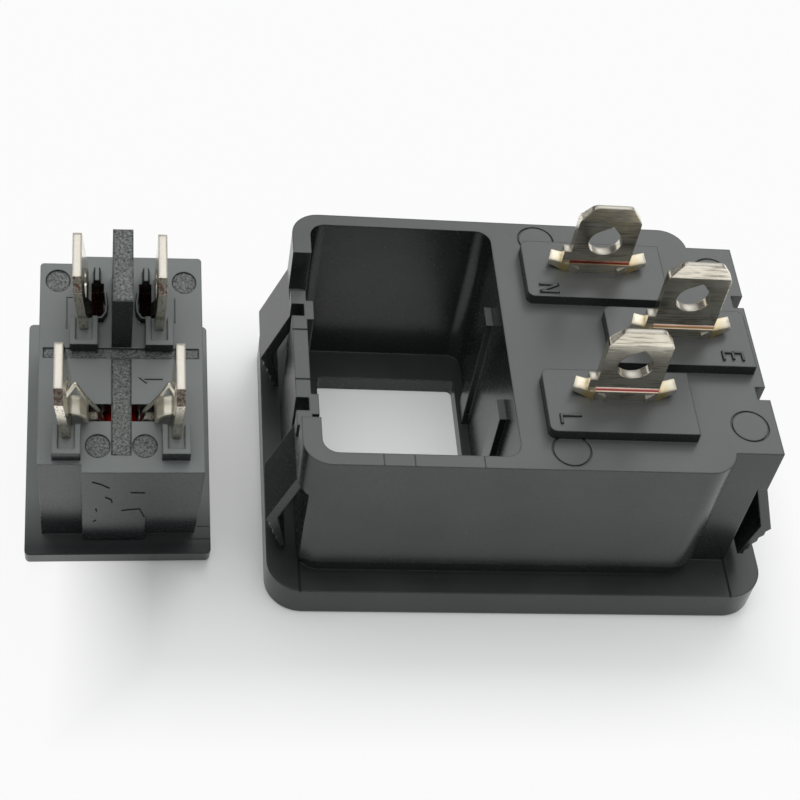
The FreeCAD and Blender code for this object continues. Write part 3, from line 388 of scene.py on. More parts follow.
@dataclass(frozen=True)
class FootedNickel(NickelPlate):
    """The nickel of an inlet pin: bands of painted highlight and a dark red painted reflection on its folded foot,
    and gold-coloured brass on its wings.

    The foot and the wings are found by their height and by their distance from the tab's middle.
    """

    stretch: tuple[float, float, float] = (0.06, 1.0, 1.0)
    edge_r: float = 0.12
    worn_r: float = 0.6
    tab_x: float = 5.58
    foot_half: float = 2.62
    foot_low: float = 19.97
    foot_high: float = 20.38
    # Painted highlight, painted dark red reflection and pale pink painted highlight, in bands up the foot's slope
    foot_painted_highlight: str = "#f0dcc4"
    foot_painted_reflection: str = "#8e3c40"
    foot_painted_pink_highlight: str = "#d8a898"
    # Places of the painted highlights and the painted reflection on the foot's slope, as shares of its height
    painted_band_places: tuple[float, float, float, float] = (0.2, 0.38, 0.64, 0.82)
    wing_end: float = 3.75
    wing_fade: float = 0.6
    wing_low: float = 19.5
    wing_high: float = 20.2
    wing_top_gold: float = 0.3
    wing_matt: float = 0.8
    cream: str = "#fbf5e4"
    gold: str = "#f4dc9c"
    # Width over which one place turns into the next
    blur: float = 0.05

    def bare(self, tree: Tree, at: Source, tone: Source, edge: Source) -> tuple[Source, Source]:
        """A dark red painted reflection between painted highlights on the foot's sloped upper face, and matt wings
        that go from gold to cream.

        Args:
            tree: The node tree.
            at: Object coordinates.
            tone: The plate's colour.
            edge: Mask of the sheared edges, which look upwards.

        Returns:
            The colour with those places, and the mask of what is matt.
        """
        axes = add_node(tree, Kind.AXES, [at]).outputs
        off = add_node(tree, Kind.MATH, [axes["X"], self.tab_x * MM], operation="SUBTRACT")
        away = add_node(tree, Kind.MATH, [off], operation="ABSOLUTE")
        low, high, half = self.foot_low * MM, self.foot_high * MM, self.foot_half * MM
        blur = self.blur * MM
        below = add_node(tree, Kind.RANGE, [axes["Z"], high, high - blur])
        above = add_node(tree, Kind.RANGE, [axes["Z"], low, low + blur])
        inside = add_node(tree, Kind.RANGE, [away, half, half - blur])
        outside = add_node(tree, Kind.RANGE, [away, half - blur, half])
        inner = add_node(tree, Kind.RANGE, [away, self.wing_end * MM, (self.wing_end - self.wing_fade) * MM])
        sunk = add_node(tree, Kind.RANGE, [axes["Z"], self.wing_high * MM, self.wing_low * MM,
                                           self.wing_top_gold])
        nook = add_node(tree, Kind.MATH, [inner, sunk], operation="MULTIPLY")
        wing = add_node(tree, Kind.MIX, {"Factor": nook, "A": linear(self.cream), "B": linear(self.gold)},
                        data_type="RGBA")
        gilt = add_node(tree, Kind.MIX, {"Factor": outside, "A": tone, "B": wing}, data_type="RGBA")
        rise = add_node(tree, Kind.RANGE, [axes["Z"], low, high])
        painted_bands = (self.foot_painted_highlight, self.foot_painted_reflection, self.foot_painted_reflection, self.foot_painted_pink_highlight)
        painted_foot_bands = add_node(tree, Kind.RAMP, [rise], list(zip(self.painted_band_places, painted_bands)))
        slope = add_node(tree, Kind.MATH, [above, inside], operation="MULTIPLY")
        foot = add_node(tree, Kind.MIX, {"Factor": slope, "A": gilt, "B": painted_foot_bands}, data_type="RGBA")
        colour = add_node(tree, Kind.MIX, {"Factor": below, "A": tone, "B": foot}, data_type="RGBA")
        winged = add_node(tree, Kind.MATH, [below, outside], operation="MULTIPLY")
        matt = add_node(tree, Kind.MATH, [winged, self.wing_matt, edge], operation="MULTIPLY_ADD")
        return colour, matt


@dataclass(frozen=True)
class Place:
    """Where a sub-assembly's own frame lies in the row frame: turned by tilt about x, then by yaw about z."""

    origin: tuple[float, float, float]
    tilt: float
    yaw: float

    def put(self, points: np.ndarray) -> np.ndarray:
        """Points of the sub-assembly's frame in the row frame."""
        yaw, tilt = (Matrix.Rotation(math.radians(a), 3, k) for a, k in ((self.yaw, "Z"), (self.tilt, "X")))
        return points @ np.array(yaw @ tilt).T + np.array(self.origin)


# The switch leans on its bezel's edge and on the raised end of its rocker
LEANING = Place((-33.86, -10.4, -0.06), 16.534470051193374, 1.7)


@dataclass(frozen=True)
class ShearedNickel(NickelPlate):
    """The nickel of a switch terminal: brown streaks of bare brass on its cut corner, and a tinned tongue."""

    name: str = "nickel_plated_terminal"
    place: Place = LEANING
    # Distance from the near to the far terminals, and where a near terminal's front edge is
    pitch: float = 8.9
    edge_y: float = 3.6
    # Where the cut corner ends: y from the front edge, and z
    corner: tuple[float, float] = (1.15, 25.05)
    corner_blur: tuple[float, float] = (0.1, 0.08)
    brown: str = "#9a6a58"
    streak: float = 0.28
    streak_span: tuple[float, float] = (0.45, 0.6)
    streak_share: float = 0.8
    # The tongue lies within this x, before this y and above this z
    tongue: tuple[float, float, float] = (3.66, 9.0, 18.5)
    tongue_blur: tuple[float, float, float] = (0.04, 0.1, 0.05)
    tin: str = "#efebdc"

    def bare(self, tree: Tree, at: Source, tone: Source, edge: Source) -> tuple[Source, Source]:
        """Streaks and tin, found in the switch's own frame, where the far terminals repeat the near ones.

        Args:
            tree: The node tree.
            at: Object coordinates.
            tone: The plate's colour.
            edge: Mask of the sheared edges, which look upwards.

        Returns:
            The colour with those places, and the mask of what is matt.
        """
        turn = (math.radians(self.place.tilt), 0.0, math.radians(self.place.yaw))
        origin = tuple(v * MM for v in self.place.origin)
        own = add_node(tree, Kind.MAPPING, {"Vector": at, "Location": origin, "Rotation": turn},
                       vector_type="TEXTURE")
        axes = add_node(tree, Kind.AXES, [own]).outputs
        off = add_node(tree, Kind.MATH, [axes["Y"], self.edge_y * MM], operation="SUBTRACT")
        again = add_node(tree, Kind.MATH, [off, self.pitch * MM], operation="MODULO")
        y, z = self.corner
        blur_y, blur_z = self.corner_blur
        near = add_node(tree, Kind.RANGE, [again, y * MM, (y - blur_y) * MM])
        high = add_node(tree, Kind.RANGE, [axes["Z"], z * MM, (z + blur_z) * MM])
        corner = add_node(tree, Kind.MATH, [near, high], operation="MULTIPLY")
        torn = add_node(tree, Kind.NOISE, {"Vector": own, "Scale": per_mm(self.streak)})
        streak = add_node(tree, Kind.RANGE, [torn, *self.streak_span, 0.0, self.streak_share])
        worn = add_node(tree, Kind.MATH, [corner, streak], operation="MULTIPLY")
        brown = add_node(tree, Kind.MIX, {"Factor": worn, "A": tone, "B": linear(self.brown)},
                         data_type="RGBA")
        side = add_node(tree, Kind.MATH, [axes["X"]], operation="ABSOLUTE")
        x, y, z = self.tongue
        blur_x, blur_y, blur_z = self.tongue_blur
        inner = add_node(tree, Kind.RANGE, [side, x * MM, (x - blur_x) * MM])
        front = add_node(tree, Kind.RANGE, [axes["Y"], y * MM, (y - blur_y) * MM])
        above = add_node(tree, Kind.RANGE, [axes["Z"], z * MM, (z + blur_z) * MM])
        nook = add_node(tree, Kind.MATH, [inner, front], operation="MULTIPLY")
        tongue = add_node(tree, Kind.MATH, [nook, above], operation="MULTIPLY")
        colour = add_node(tree, Kind.MIX, {"Factor": tongue, "A": brown, "B": linear(self.tin)},
                          data_type="RGBA")
        return colour, add_node(tree, Kind.MATH, [edge, tongue], operation="MAXIMUM")


@dataclass(frozen=True)
class PlainMetal(Finish):
    """A small bare metal part: two close tones in clouds, and a gloss that follows them."""

    name: str
    tone: str
    shade: str
    rough_low: float
    rough_high: float
    cloud: float = 0.6
    cloud_span: tuple[float, float] = (0.35, 0.6)

    def build(self, tree: Tree, shader: Node) -> None:
        """Tone and roughness over one cloudy pattern.

        Args:
            tree: The material's node tree.
            shader: Its Principled shader.
        """
        at = add_node(tree, Kind.COORDS).outputs["Object"]
        clouds = add_node(tree, Kind.NOISE, {"Vector": at, "Scale": per_mm(self.cloud), "Detail": OCTAVES,
                                             "Roughness": FINE_WEIGHT})
        colour = add_node(tree, Kind.RAMP, [clouds], list(zip(self.cloud_span, (self.shade, self.tone))))
        rough = add_node(tree, Kind.RANGE, [clouds, *NOISE_SPAN, self.rough_low, self.rough_high])
        feed(tree, shader, {"Base Color": colour, "Roughness": rough, "Metallic": 1.0})


@dataclass(frozen=True)
class ClearMoulding(Finish):
    """A see-through moulding or drawn glass: tinted and glossy, with faint flow clouds."""

    name: str
    tone: str
    shade: str
    clear: float
    ior: float
    cloud: float = 2.5
    rough_low: float = 0.12
    rough_high: float = 0.25

    def build(self, tree: Tree, shader: Node) -> None:
        """Tinted transmission with a slow change of tone and of gloss.

        Args:
            tree: The material's node tree.
            shader: Its Principled shader.
        """
        at = add_node(tree, Kind.COORDS).outputs["Object"]
        clouds = add_node(tree, Kind.NOISE, {"Vector": at, "Scale": per_mm(self.cloud)})
        colour = add_node(tree, Kind.RAMP, [clouds], list(zip(NOISE_SPAN, (self.shade, self.tone))))
        rough = add_node(tree, Kind.RANGE, [clouds, *NOISE_SPAN, self.rough_low, self.rough_high])
        feed(tree, shader, {"Base Color": colour, "Roughness": rough, "Transmission Weight": self.clear,
                            "IOR": self.ior})


@dataclass(frozen=True)
class Coating(Finish):
    """A dull opaque plastic or lacquer in two close tones."""

    name: str
    tone: str
    shade: str
    rough: float
    rough_spread: float = 0.08
    grain: float = 0.5

    def build(self, tree: Tree, shader: Node) -> None:
        """Tone and roughness over one fine pattern.

        Args:
            tree: The material's node tree.
            shader: Its Principled shader.
        """
        at = add_node(tree, Kind.COORDS).outputs["Object"]
        grain = add_node(tree, Kind.NOISE, {"Vector": at, "Scale": per_mm(self.grain), "Detail": OCTAVES})
        colour = add_node(tree, Kind.RAMP, [grain], list(zip(NOISE_SPAN, (self.shade, self.tone))))
        rough = add_node(tree, Kind.RANGE, [grain, *NOISE_SPAN, self.rough - self.rough_spread,
                                            self.rough + self.rough_spread])
        feed(tree, shader, {"Base Color": colour, "Roughness": rough})


class Slot(Enum):
    """The record's material slots and the finish that each takes."""

    NYLON = ("black_nylon", MouldedNylon())
    # Red polycarbonate from a polished mould: glossy, and a little light comes through
    RED = ("red_polycarbonate", ClearMoulding("red_polycarbonate_moulded", "#d81c18", "#a81010", 0.25, 1.585))
    PLATE = ("plated_brass", ShearedNickel())
    # Silver alloy, headed cold: pale and softly bright
    SILVER = ("silver_contact", PlainMetal("silver_contact_metal", "#e2e0da", "#b9b7b0", 0.2, 0.4))
    # Natural acetal, moulded: milky white, waxy rather than glossy
    ACETAL = ("white_acetal", Coating("white_acetal_moulded", "#ece9e0", "#dcd8cc", 0.4))
    # Drawn spring steel: grey and fairly bright
    STEEL = ("spring_steel", PlainMetal("spring_steel_wire", "#b4b6b8", "#8c8e91", 0.2, 0.35))
    # Hot tinned copper wire: warm white, with a soft uneven shine
    COPPER = ("tinned_copper", PlainMetal("tinned_copper_wire", "#ece7da", "#cfc8b8", 0.25, 0.4))
    # A glass tube that is painted clear red: a bright red glimmer in the dark
    GLASS = ("lamp_glass", ClearMoulding("lamp_glass_tube", "#f0302a", "#c81c18", 0.25, 1.47))
    # Dipped lacquer: sand coloured and dull
    RESISTOR = ("resistor_coating", Coating("resistor_lacquer", "#cdb083", "#b3935f", 0.45))

    @property
    def slot(self) -> str:
        """The slot's name in the record."""
        return self.value[0]

    @property
    def finish(self) -> Finish:
        """The finish of the slot."""
        return self.value[1]


# Surfaces on grids

def grid_faces(rows: int, cols: int, start: int = 0, close: bool = False) -> np.ndarray:
    """Quads over a grid of points, row by row.

    Args:
        rows: Points along the first parameter.
        cols: Points along the second parameter.
        start: Index of the grid's first point.
        close: Whether the last column joins the first.

    Returns:
        An array of quads.
    """
    r = np.arange(rows - 1)[:, None]
    c = np.arange(cols if close else cols - 1)[None, :]
    n = (c + 1) % cols
    quads = np.stack([r * cols + c, r * cols + n, (r + 1) * cols + n, (r + 1) * cols + c], axis=-1)
    return quads.reshape(-1, 4) + start


def relief_slab(u: np.ndarray, v: np.ndarray, low: float, high: np.ndarray) -> Solid:
    """A closed slab: top z = high(u, v) on a grid, bottom at one height, walls along the grid's border.

    Args:
        u: Grid of x values, rows by columns.
        v: Grid of y values.
        low: Height of the bottom.
        high: Grid of heights of the top.

    Returns:
        Points and faces.
    """
    rows, cols = u.shape
    top = np.stack([u, v, high], axis=-1).reshape(-1, 3)
    bottom = np.stack([u, v, np.full_like(u, low)], axis=-1).reshape(-1, 3)
    count = rows * cols
    index = np.arange(count).reshape(rows, cols)
    rim = np.concatenate([index[0, :-1], index[:-1, -1], index[-1, :0:-1], index[:0:-1, 0]])
    after = np.roll(rim, -1)
    upper = grid_faces(rows, cols)
    lower = grid_faces(rows, cols, count)[:, ::-1]
    walls = np.stack([rim + count, after + count, after, rim], axis=-1)
    return np.concatenate([top, bottom]), [*upper, *lower, *walls]


def stroke(path: np.ndarray, width: float, height: float, base: float = 0.0, sink: float = 0.03) -> Solid:
    """A raised moulded line: a profile with sloped, eased sides along a flat path with mitred corners.

    A point is path(u) + side(u) * offset(v) / cos(half the corner) + up * rise(v).

    Args:
        path: Points (x, y) of the path.
        width: Width at the foot.
        height: Height above the surface.
        base: Height of the surface.
        sink: Depth of the foot below the surface.

    Returns:
        Points and faces of a closed solid.
    """
    shoulder = 0.85 * height
    offset = np.array([-0.5, -0.5, -0.36, -0.22, 0.22, 0.36, 0.5, 0.5]) * width
    rise = np.array([-sink, 0.0, shoulder, height, height, shoulder, 0.0, -sink]) + base
    run = np.diff(path, axis=0)
    run = run / np.linalg.norm(run, axis=1, keepdims=True)
    left = np.stack([-run[:, 1], run[:, 0]], axis=1)
    side = np.concatenate([left[:1], left]) + np.concatenate([left, left[-1:]])
    side = side / (0.5 * np.sum(side * side, axis=1, keepdims=True))
    flat = path[:, None, :] + side[:, None, :] * offset[None, :, None]
    z = np.broadcast_to(rise, flat.shape[:2])
    points = np.concatenate([flat, z[..., None]], axis=-1).reshape(-1, 3)
    rows, cols = len(path), len(offset)
    ends = [np.arange(cols), np.arange(cols)[::-1] + (rows - 1) * cols]
    return points, [*grid_faces(rows, cols, 0, True)[:, ::-1], *ends]


def merged(parts: Iterable[Solid]) -> Solid:
    """Several closed solids as one set of points and faces.

    Args:
        parts: The solids.

    Returns:
        All points, and all faces with their point numbers moved on.
    """
    points, faces, start = [], [], 0
    for p, f in parts:
        points.append(p)
        faces += [np.asarray(face) + start for face in f]
        start += len(p)
    return np.concatenate(points), faces


def make_piece(name: str, solid: Solid, slot: Slot, finish: Finish | None = None, body: str = ROOT,
               smooth: bool = False) -> bpy.types.Object:
    """Makes a mesh object that rides on a body.

    Args:
        name: The piece's name.
        solid: Points in millimetres, in the row frame, and faces as lists of point numbers.
        slot: The record's material slot.
        finish: A finish other than the slot's own.
        body: The body that carries the piece.
        smooth: Whether the faces are shaded smooth.

    Returns:
        The object.
    """
    points, faces = solid
    mesh = bpy.data.meshes.new(name)
    mesh.from_pydata((points * MM).tolist(), [], [list(map(int, f)) for f in faces])
    mesh.polygons.foreach_set("use_smooth", np.full(len(mesh.polygons), smooth))
    mesh.update()
    piece = bpy.data.objects.new(name, mesh)
    bpy.context.scene.collection.objects.link(piece)
    mesh.materials.append((finish or slot.finish).material())
    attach(piece, body)
    log.info("piece %s: %d points", name, len(points))
    return piece


# The object

class Side(Enum):
    """The two poles of the switch, with the sign of their x in its own frame."""

    LEFT = -1
    RIGHT = 1


class Assembly:
    """A sub-assembly: CAD nodes that get a finish, and pieces of its own."""

    own: dict[str, Finish]

    def dress(self, names: Iterable[str]) -> None:
        """Gives CAD nodes the finish of their material slot, or their own where the sub-assembly has one.

        Args:
            names: The nodes.
        """
        finishes = {s.slot: s.finish for s in Slot}
        slots = {p["node"]: p["material_slot"] for p in frame["record"]["subparts"]}
        for name in names:
            node = frame["nodes"][name]
            node.data.materials.clear()
            node.data.materials.append(self.own.get(name, finishes[slots[name]]).material())
            log.info("node %s: %s", name, slots[name])


@dataclass(frozen=True)
class Inlet(Assembly):
    """The inlet: its moulding with raised pole letters and mould lines, and its three pins."""

    nodes: tuple[str, ...] = ("inlet_housing", "line_pin", "neutral_pin", "earth_pin")
    own: dict[str, Finish] = field(default_factory=lambda: {
        "line_pin": FootedNickel("nickel_plated_line_pin", tab_x=5.75),
        "neutral_pin": FootedNickel("nickel_plated_neutral_pin"),
        # The earth pin's painted reflection on its foot is brown
        "earth_pin": FootedNickel("nickel_plated_earth_pin", tab_x=11.66, foot_painted_reflection="#8a7048")})
    pad_z: float = 19.0
    rear_z: float = 18.0
    letter_w: float = 0.85
    letter_h: float = 1.65
    line_w: float = 0.28
    relief: float = 0.18
    line_at: tuple[float, float] = (1.18, -9.25)
    line_paths: tuple[Path, ...] = (((-0.5, 0.5), (-0.5, -0.5), (0.5, -0.5)),)
    neutral_at: tuple[float, float] = (1.22, 4.9)
    neutral_paths: tuple[Path, ...] = (((-0.5, -0.5), (-0.5, 0.5)), ((-0.5, 0.5), (0.5, -0.5)),
                                       ((0.5, -0.5), (0.5, 0.5)))
    earth_at: tuple[float, float] = (15.88, -2.07)
    earth_paths: tuple[Path, ...] = (((0.5, 0.5), (-0.5, 0.5), (-0.5, -0.5), (0.5, -0.5)),
                                     ((-0.5, 0.0), (0.4, 0.0)))
    rim_lines: tuple[float, ...] = (-13.88, -11.47, -6.0)
    rim_y: tuple[float, float] = (-13.4, -12.35)
    rim_line_w: float = 0.1
    rim_line_h: float = 0.04

    def build(self) -> None:
        """The pole letters of the three tabs, and the mould lines that cross the bay's rim."""
        self.letter("line_letter", self.line_paths, self.line_at)
        self.letter("neutral_letter", self.neutral_paths, self.neutral_at)
        self.letter("earth_letter", self.earth_paths, self.earth_at)
        rim = [stroke(np.array([(x, y) for y in self.rim_y]), self.rim_line_w, self.rim_line_h, self.rear_z)
               for x in self.rim_lines]
        make_piece("rim_mould_lines", merged(rim), Slot.NYLON)

    def letter(self, name: str, paths: tuple[Path, ...], at: tuple[float, float]) -> None:
        """One raised pole letter on its pad, turned to be read from the bay's side.

        Args:
            name: Name of the piece.
            paths: Strokes in letter units: x to the letter's right and y up, both from -0.5 to 0.5.
            at: The letter's middle on the pad.
        """
        parts = []
        for path in paths:
            unit = np.array(path)
            x = at[0] + unit[:, 1] * self.letter_h
            y = at[1] - unit[:, 0] * self.letter_w
            parts.append(stroke(np.stack([x, y], axis=1), self.line_w, self.relief, self.pad_z))
        make_piece(name, merged(parts), Slot.NYLON)


@dataclass(frozen=True)
class Switch(Assembly):
    """The rocker switch: the eroded panels, mould marks, hooks and scuffs of its case, and its springs.

    Areas are two x and two y values, and all places are in the switch's own frame.
    """

    own: dict[str, Finish] = field(default_factory=lambda: {"switch_housing": SatinNylon()})
    place: Place = LEANING
    rear_z: float = 18.0
    sink: float = 0.15
    seed: int = 11
    # Real spark-eroded pits, about 0.03 mm wide, are too fine to show, so these are as coarse as needed
    grain: float = 0.09
    grain_h: float = 0.07
    cross: Area = (-5.9, 5.9, 10.55, 11.4)
    spine: Area = (-0.75, 0.75, 2.6, 10.55)
    fin: Area = (-0.75, 0.75, 11.48, 17.4)
    fin_h: float = 8.04
    dot_r: float = 0.95
    dots: Path = ((-1.75, 3.35), (1.75, 3.35), (-4.85, 17.1), (4.85, 17.1))
    inset: float = 0.02
    number: Path = ((3.11, 8.87), (1.51, 8.87), (1.91, 8.52))
    number_w: float = 0.2
    number_h: float = 0.1
    hook_post: Path = ((1.88, 16.75), (1.88, 17.9))
    post_w: float = 0.65
    post_h: float = 0.9
    hook_rib: Path = ((1.95, 13.7), (1.5, 13.75), (1.22, 14.2), (1.15, 14.9), (1.25, 15.9))
    rib_w: float = 0.3
    rib_h: float = 0.6
    # Scuffs are paths of x and z on the near wall
    near_wall_y: float = 1.2
    scuffs: tuple[Path, ...] = (
        ((-2.13, 16.0), (-1.5, 15.5), (-0.86, 14.7)), ((-1.13, 12.6), (-0.7, 12.1), (-0.62, 11.4)),
        ((0.77, 13.65), (1.87, 13.6)), ((0.14, 9.5), (0.68, 9.7), (1.55, 9.9), (1.95, 7.95)),
        ((-1.85, 9.9), (-1.8, 9.4)), ((-2.05, 6.9), (-1.85, 7.2)))
    scuff_w: float = 0.13
    scuff_h: float = 0.05
    rear_lines: tuple[Path, ...] = (((-3.7, 15.7), (-4.16, 15.7), (-4.16, 13.0)), ((4.1, 15.7), (4.1, 13.6)))
    bezel_z: float = 2.05
    bezel_lines: tuple[Path, ...] = (((6.5, 2.4), (7.5, 2.4)), ((5.8, 1.3), (7.5, 1.3)))
    line_w: float = 0.12
    line_h: float = 0.05

    def build(self) -> None:
        """All pieces of the switch, in order."""
        self.textures()
        self.put("mould_number", [stroke(np.array(self.number), self.number_w, self.number_h, self.rear_z)])
        self.hooks()
        self.lines()
        for side in Side:
            PlungerSpring(side).build()

    def put(self, name: str, parts: list[Solid], finish: Finish = SatinNylon(), smooth: bool = False) -> None:
        """Makes one piece of several solids at the switch's place.

        Args:
            name: Name of the piece.
            parts: Solids in the switch's own frame.
            finish: The piece's finish.
            smooth: Whether the faces are shaded smooth.
        """
        points, faces = merged(parts)
        make_piece(name, (self.place.put(points), faces), Slot.NYLON, finish, smooth=smooth)

    def grained(self, shape: tuple[int, int], rng: np.random.Generator) -> np.ndarray:
        """Random heights of a spark-eroded face: the mean of each point and two neighbours.

        Args:
            shape: Rows and columns.
            rng: Source of the random heights.

        Returns:
            A grid of heights.
        """
        raw = rng.random(shape)
        mean = (raw + np.roll(raw, 1, 0) + np.roll(raw, 1, 1)) / 3.0
        return mean * self.grain_h

    def panel(self, area: Area, floor: float, rng: np.random.Generator) -> Solid:
        """An eroded rectangle: z = floor + grain(x, y) on an even grid.

        Args:
            area: The rectangle.
            floor: Height of its deepest pits.
            rng: Source of the random heights.

        Returns:
            Points and faces.
        """
        x0, x1, y0, y1 = area
        gap = self.inset
        rows = int((y1 - y0) / self.grain) + 2
        cols = int((x1 - x0) / self.grain) + 2
        v, u = np.meshgrid(np.linspace(y0 + gap, y1 - gap, rows), np.linspace(x0 + gap, x1 - gap, cols),
                           indexing="ij")
        return relief_slab(u, v, floor - self.inset, floor + self.grained(u.shape, rng))

    def disc(self, at: tuple[float, float], floor: float, rng: np.random.Generator) -> Solid:
        """An eroded disc: a square grid pressed to a circle by x = s * sqrt(1 - t * t / 2), and likewise y.

        Args:
            at: The disc's middle.
            floor: Height of its deepest pits.
            rng: Source of the random heights.

        Returns:
            Points and faces.
        """
        count = int(2 * self.dot_r / self.grain) + 2
        t, s = np.meshgrid(np.linspace(-1, 1, count), np.linspace(-1, 1, count), indexing="ij")
        r = self.dot_r - self.inset
        u = at[0] + r * s * np.sqrt(1 - t * t / 2)
        v = at[1] + r * t * np.sqrt(1 - s * s / 2)
        return relief_slab(u, v, floor - self.inset, floor + self.grained(u.shape, rng))

    def textures(self) -> None:
        """Eroded panels and discs of the rear face, and the eroded top of the fin."""
        rng = np.random.default_rng(self.seed)
        floor = self.rear_z - self.sink
        cross = [self.panel(area, floor, rng) for area in (self.cross, self.spine)]
        dots = [self.disc(at, floor, rng) for at in self.dots]
        fin = [self.panel(self.fin, self.rear_z + self.fin_h, rng)]
        self.put("rear_cross_texture", cross, ErodedNylon(), smooth=True)
        self.put("rear_dot_texture", dots, ErodedNylon(), smooth=True)
        self.put("fin_top_texture", fin, ErodedNylon(), smooth=True)

    def hooks(self) -> None:
        """A moulded post and a curved rib beside each far terminal, which close over its barb."""
        shapes = ((self.hook_post, self.post_w, self.post_h), (self.hook_rib, self.rib_w, self.rib_h))
        for side in (Side.RIGHT, Side.LEFT):
            sign = side.value
            parts = [stroke(np.array(path)[::sign] * (sign, 1), width, height, self.rear_z)
                     for path, width, height in shapes]
            self.put("barb_hooks_" + side.name.lower(), parts)

    def lines(self) -> None:
        """Scuffs of the near wall, and fine mould lines on the rear face and the bezel."""
        parts = []
        for path in self.scuffs:
            points, faces = stroke(np.array(path), self.scuff_w, self.scuff_h)
            x, z, out = points.T
            parts.append((np.stack([x, self.near_wall_y - out, z], axis=1), faces))
        # The scuffs are almost black: painted shade for the shade inside the scratches
        self.put("switch_scuffs", parts, ScuffShadeNylon())
        fine = [(path, self.rear_z) for path in self.rear_lines]
        fine += [(path, self.bezel_z) for path in self.bezel_lines]
        parts = [stroke(np.array(path), self.line_w, self.line_h, z) for path, z in fine]
        self.put("switch_mould_lines", parts)


@dataclass(frozen=True)
class PlungerSpring:
    """The coil spring under one plunger; in the real switch it shortens as the plunger is pressed into the
    rocker's tube.
    """

    side: Side
    coil_r: float = 0.62
    wire_r: float = 0.13
    turns: int = 6
    steps: int = 24
    ring: int = 10
    travel: float = 0.8
    slack: float = 0.02

    def build(self) -> None:
        """Winds the spring between the ends of the CAD spring that it stands for, along the axis of the joint that
        presses it.
        """
        node, joint = (kind + self.side.name.lower() for kind in ("plunger_spring_", "plunger_press_"))
        low, high = (np.array(corner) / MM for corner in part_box(node))
        up = -np.array(next(j["axis"] for j in frame["joints"] if j["name"] == joint))
        length = high[2] - low[2]
        seat = (low + high) / 2 - up * length / 2
        coil = self.coil(seat, up, length)
        piece = make_piece("coil_" + node, coil, Slot.STEEL, body="rocker", smooth=True)
        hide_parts(node)
        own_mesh(piece)

    def coil(self, seat: np.ndarray, up: np.ndarray, length: float) -> Solid:
        """A round wire along a helix.

        The path is seat + radius * out(t) + up * rise * t, and a ring of the wire is
        path + wire * (out * cos(v) + normal * sin(v)), with the normal square to the path and to out.

        Args:
            seat: Middle of the spring's lower end.
            up: Direction of its axis.
            length: Length from end to end, wire included.

        Returns:
            Points and faces of a closed tube.
        """
        turn = np.linspace(0.0, 2 * np.pi * self.turns, self.turns * self.steps + 1)[:, None]
        across = np.cross((0.0, 1.0, 0.0), up)
        across = across / np.linalg.norm(across)
        beside = np.cross(up, across)
        out = np.cos(turn) * across + np.sin(turn) * beside
        rise = (length - 2 * self.wire_r) / turn[-1]
        run = self.coil_r * (np.cos(turn) * beside - np.sin(turn) * across) + rise * up
        normal = np.cross(run / np.linalg.norm(run, axis=1, keepdims=True), out)
        path = seat + self.coil_r * out + up * (self.wire_r + rise * turn)
        angle = np.linspace(0.0, 2 * np.pi, self.ring, endpoint=False)[None, :, None]
        ring = np.cos(angle) * out[:, None] + np.sin(angle) * normal[:, None]
        points = path[:, None] + self.wire_r * ring
        rows, cols = len(turn), self.ring
        ends = [np.arange(cols)[::-1], np.arange(cols) + (rows - 1) * cols]
        return points.reshape(-1, 3), [*grid_faces(rows, cols, 0, True), *ends]


# Studio

@dataclass(frozen=True)
class Softbox:
    """A square area lamp that is aimed at the origin; its place and its side are metres."""

    name: str
    watts: float
    side: float
    at: tuple[float, float, float]

    def build(self) -> None:
        """Makes the lamp."""
        lamp = bpy.data.lights.new(self.name, "AREA")
        lamp.energy = self.watts
        lamp.size = self.side
        box = bpy.data.objects.new(self.name, lamp)
        box.location = self.at
        box.rotation_euler = (-Vector(self.at)).to_track_quat("-Z", "Y").to_euler()
        bpy.context.scene.collection.objects.link(box)


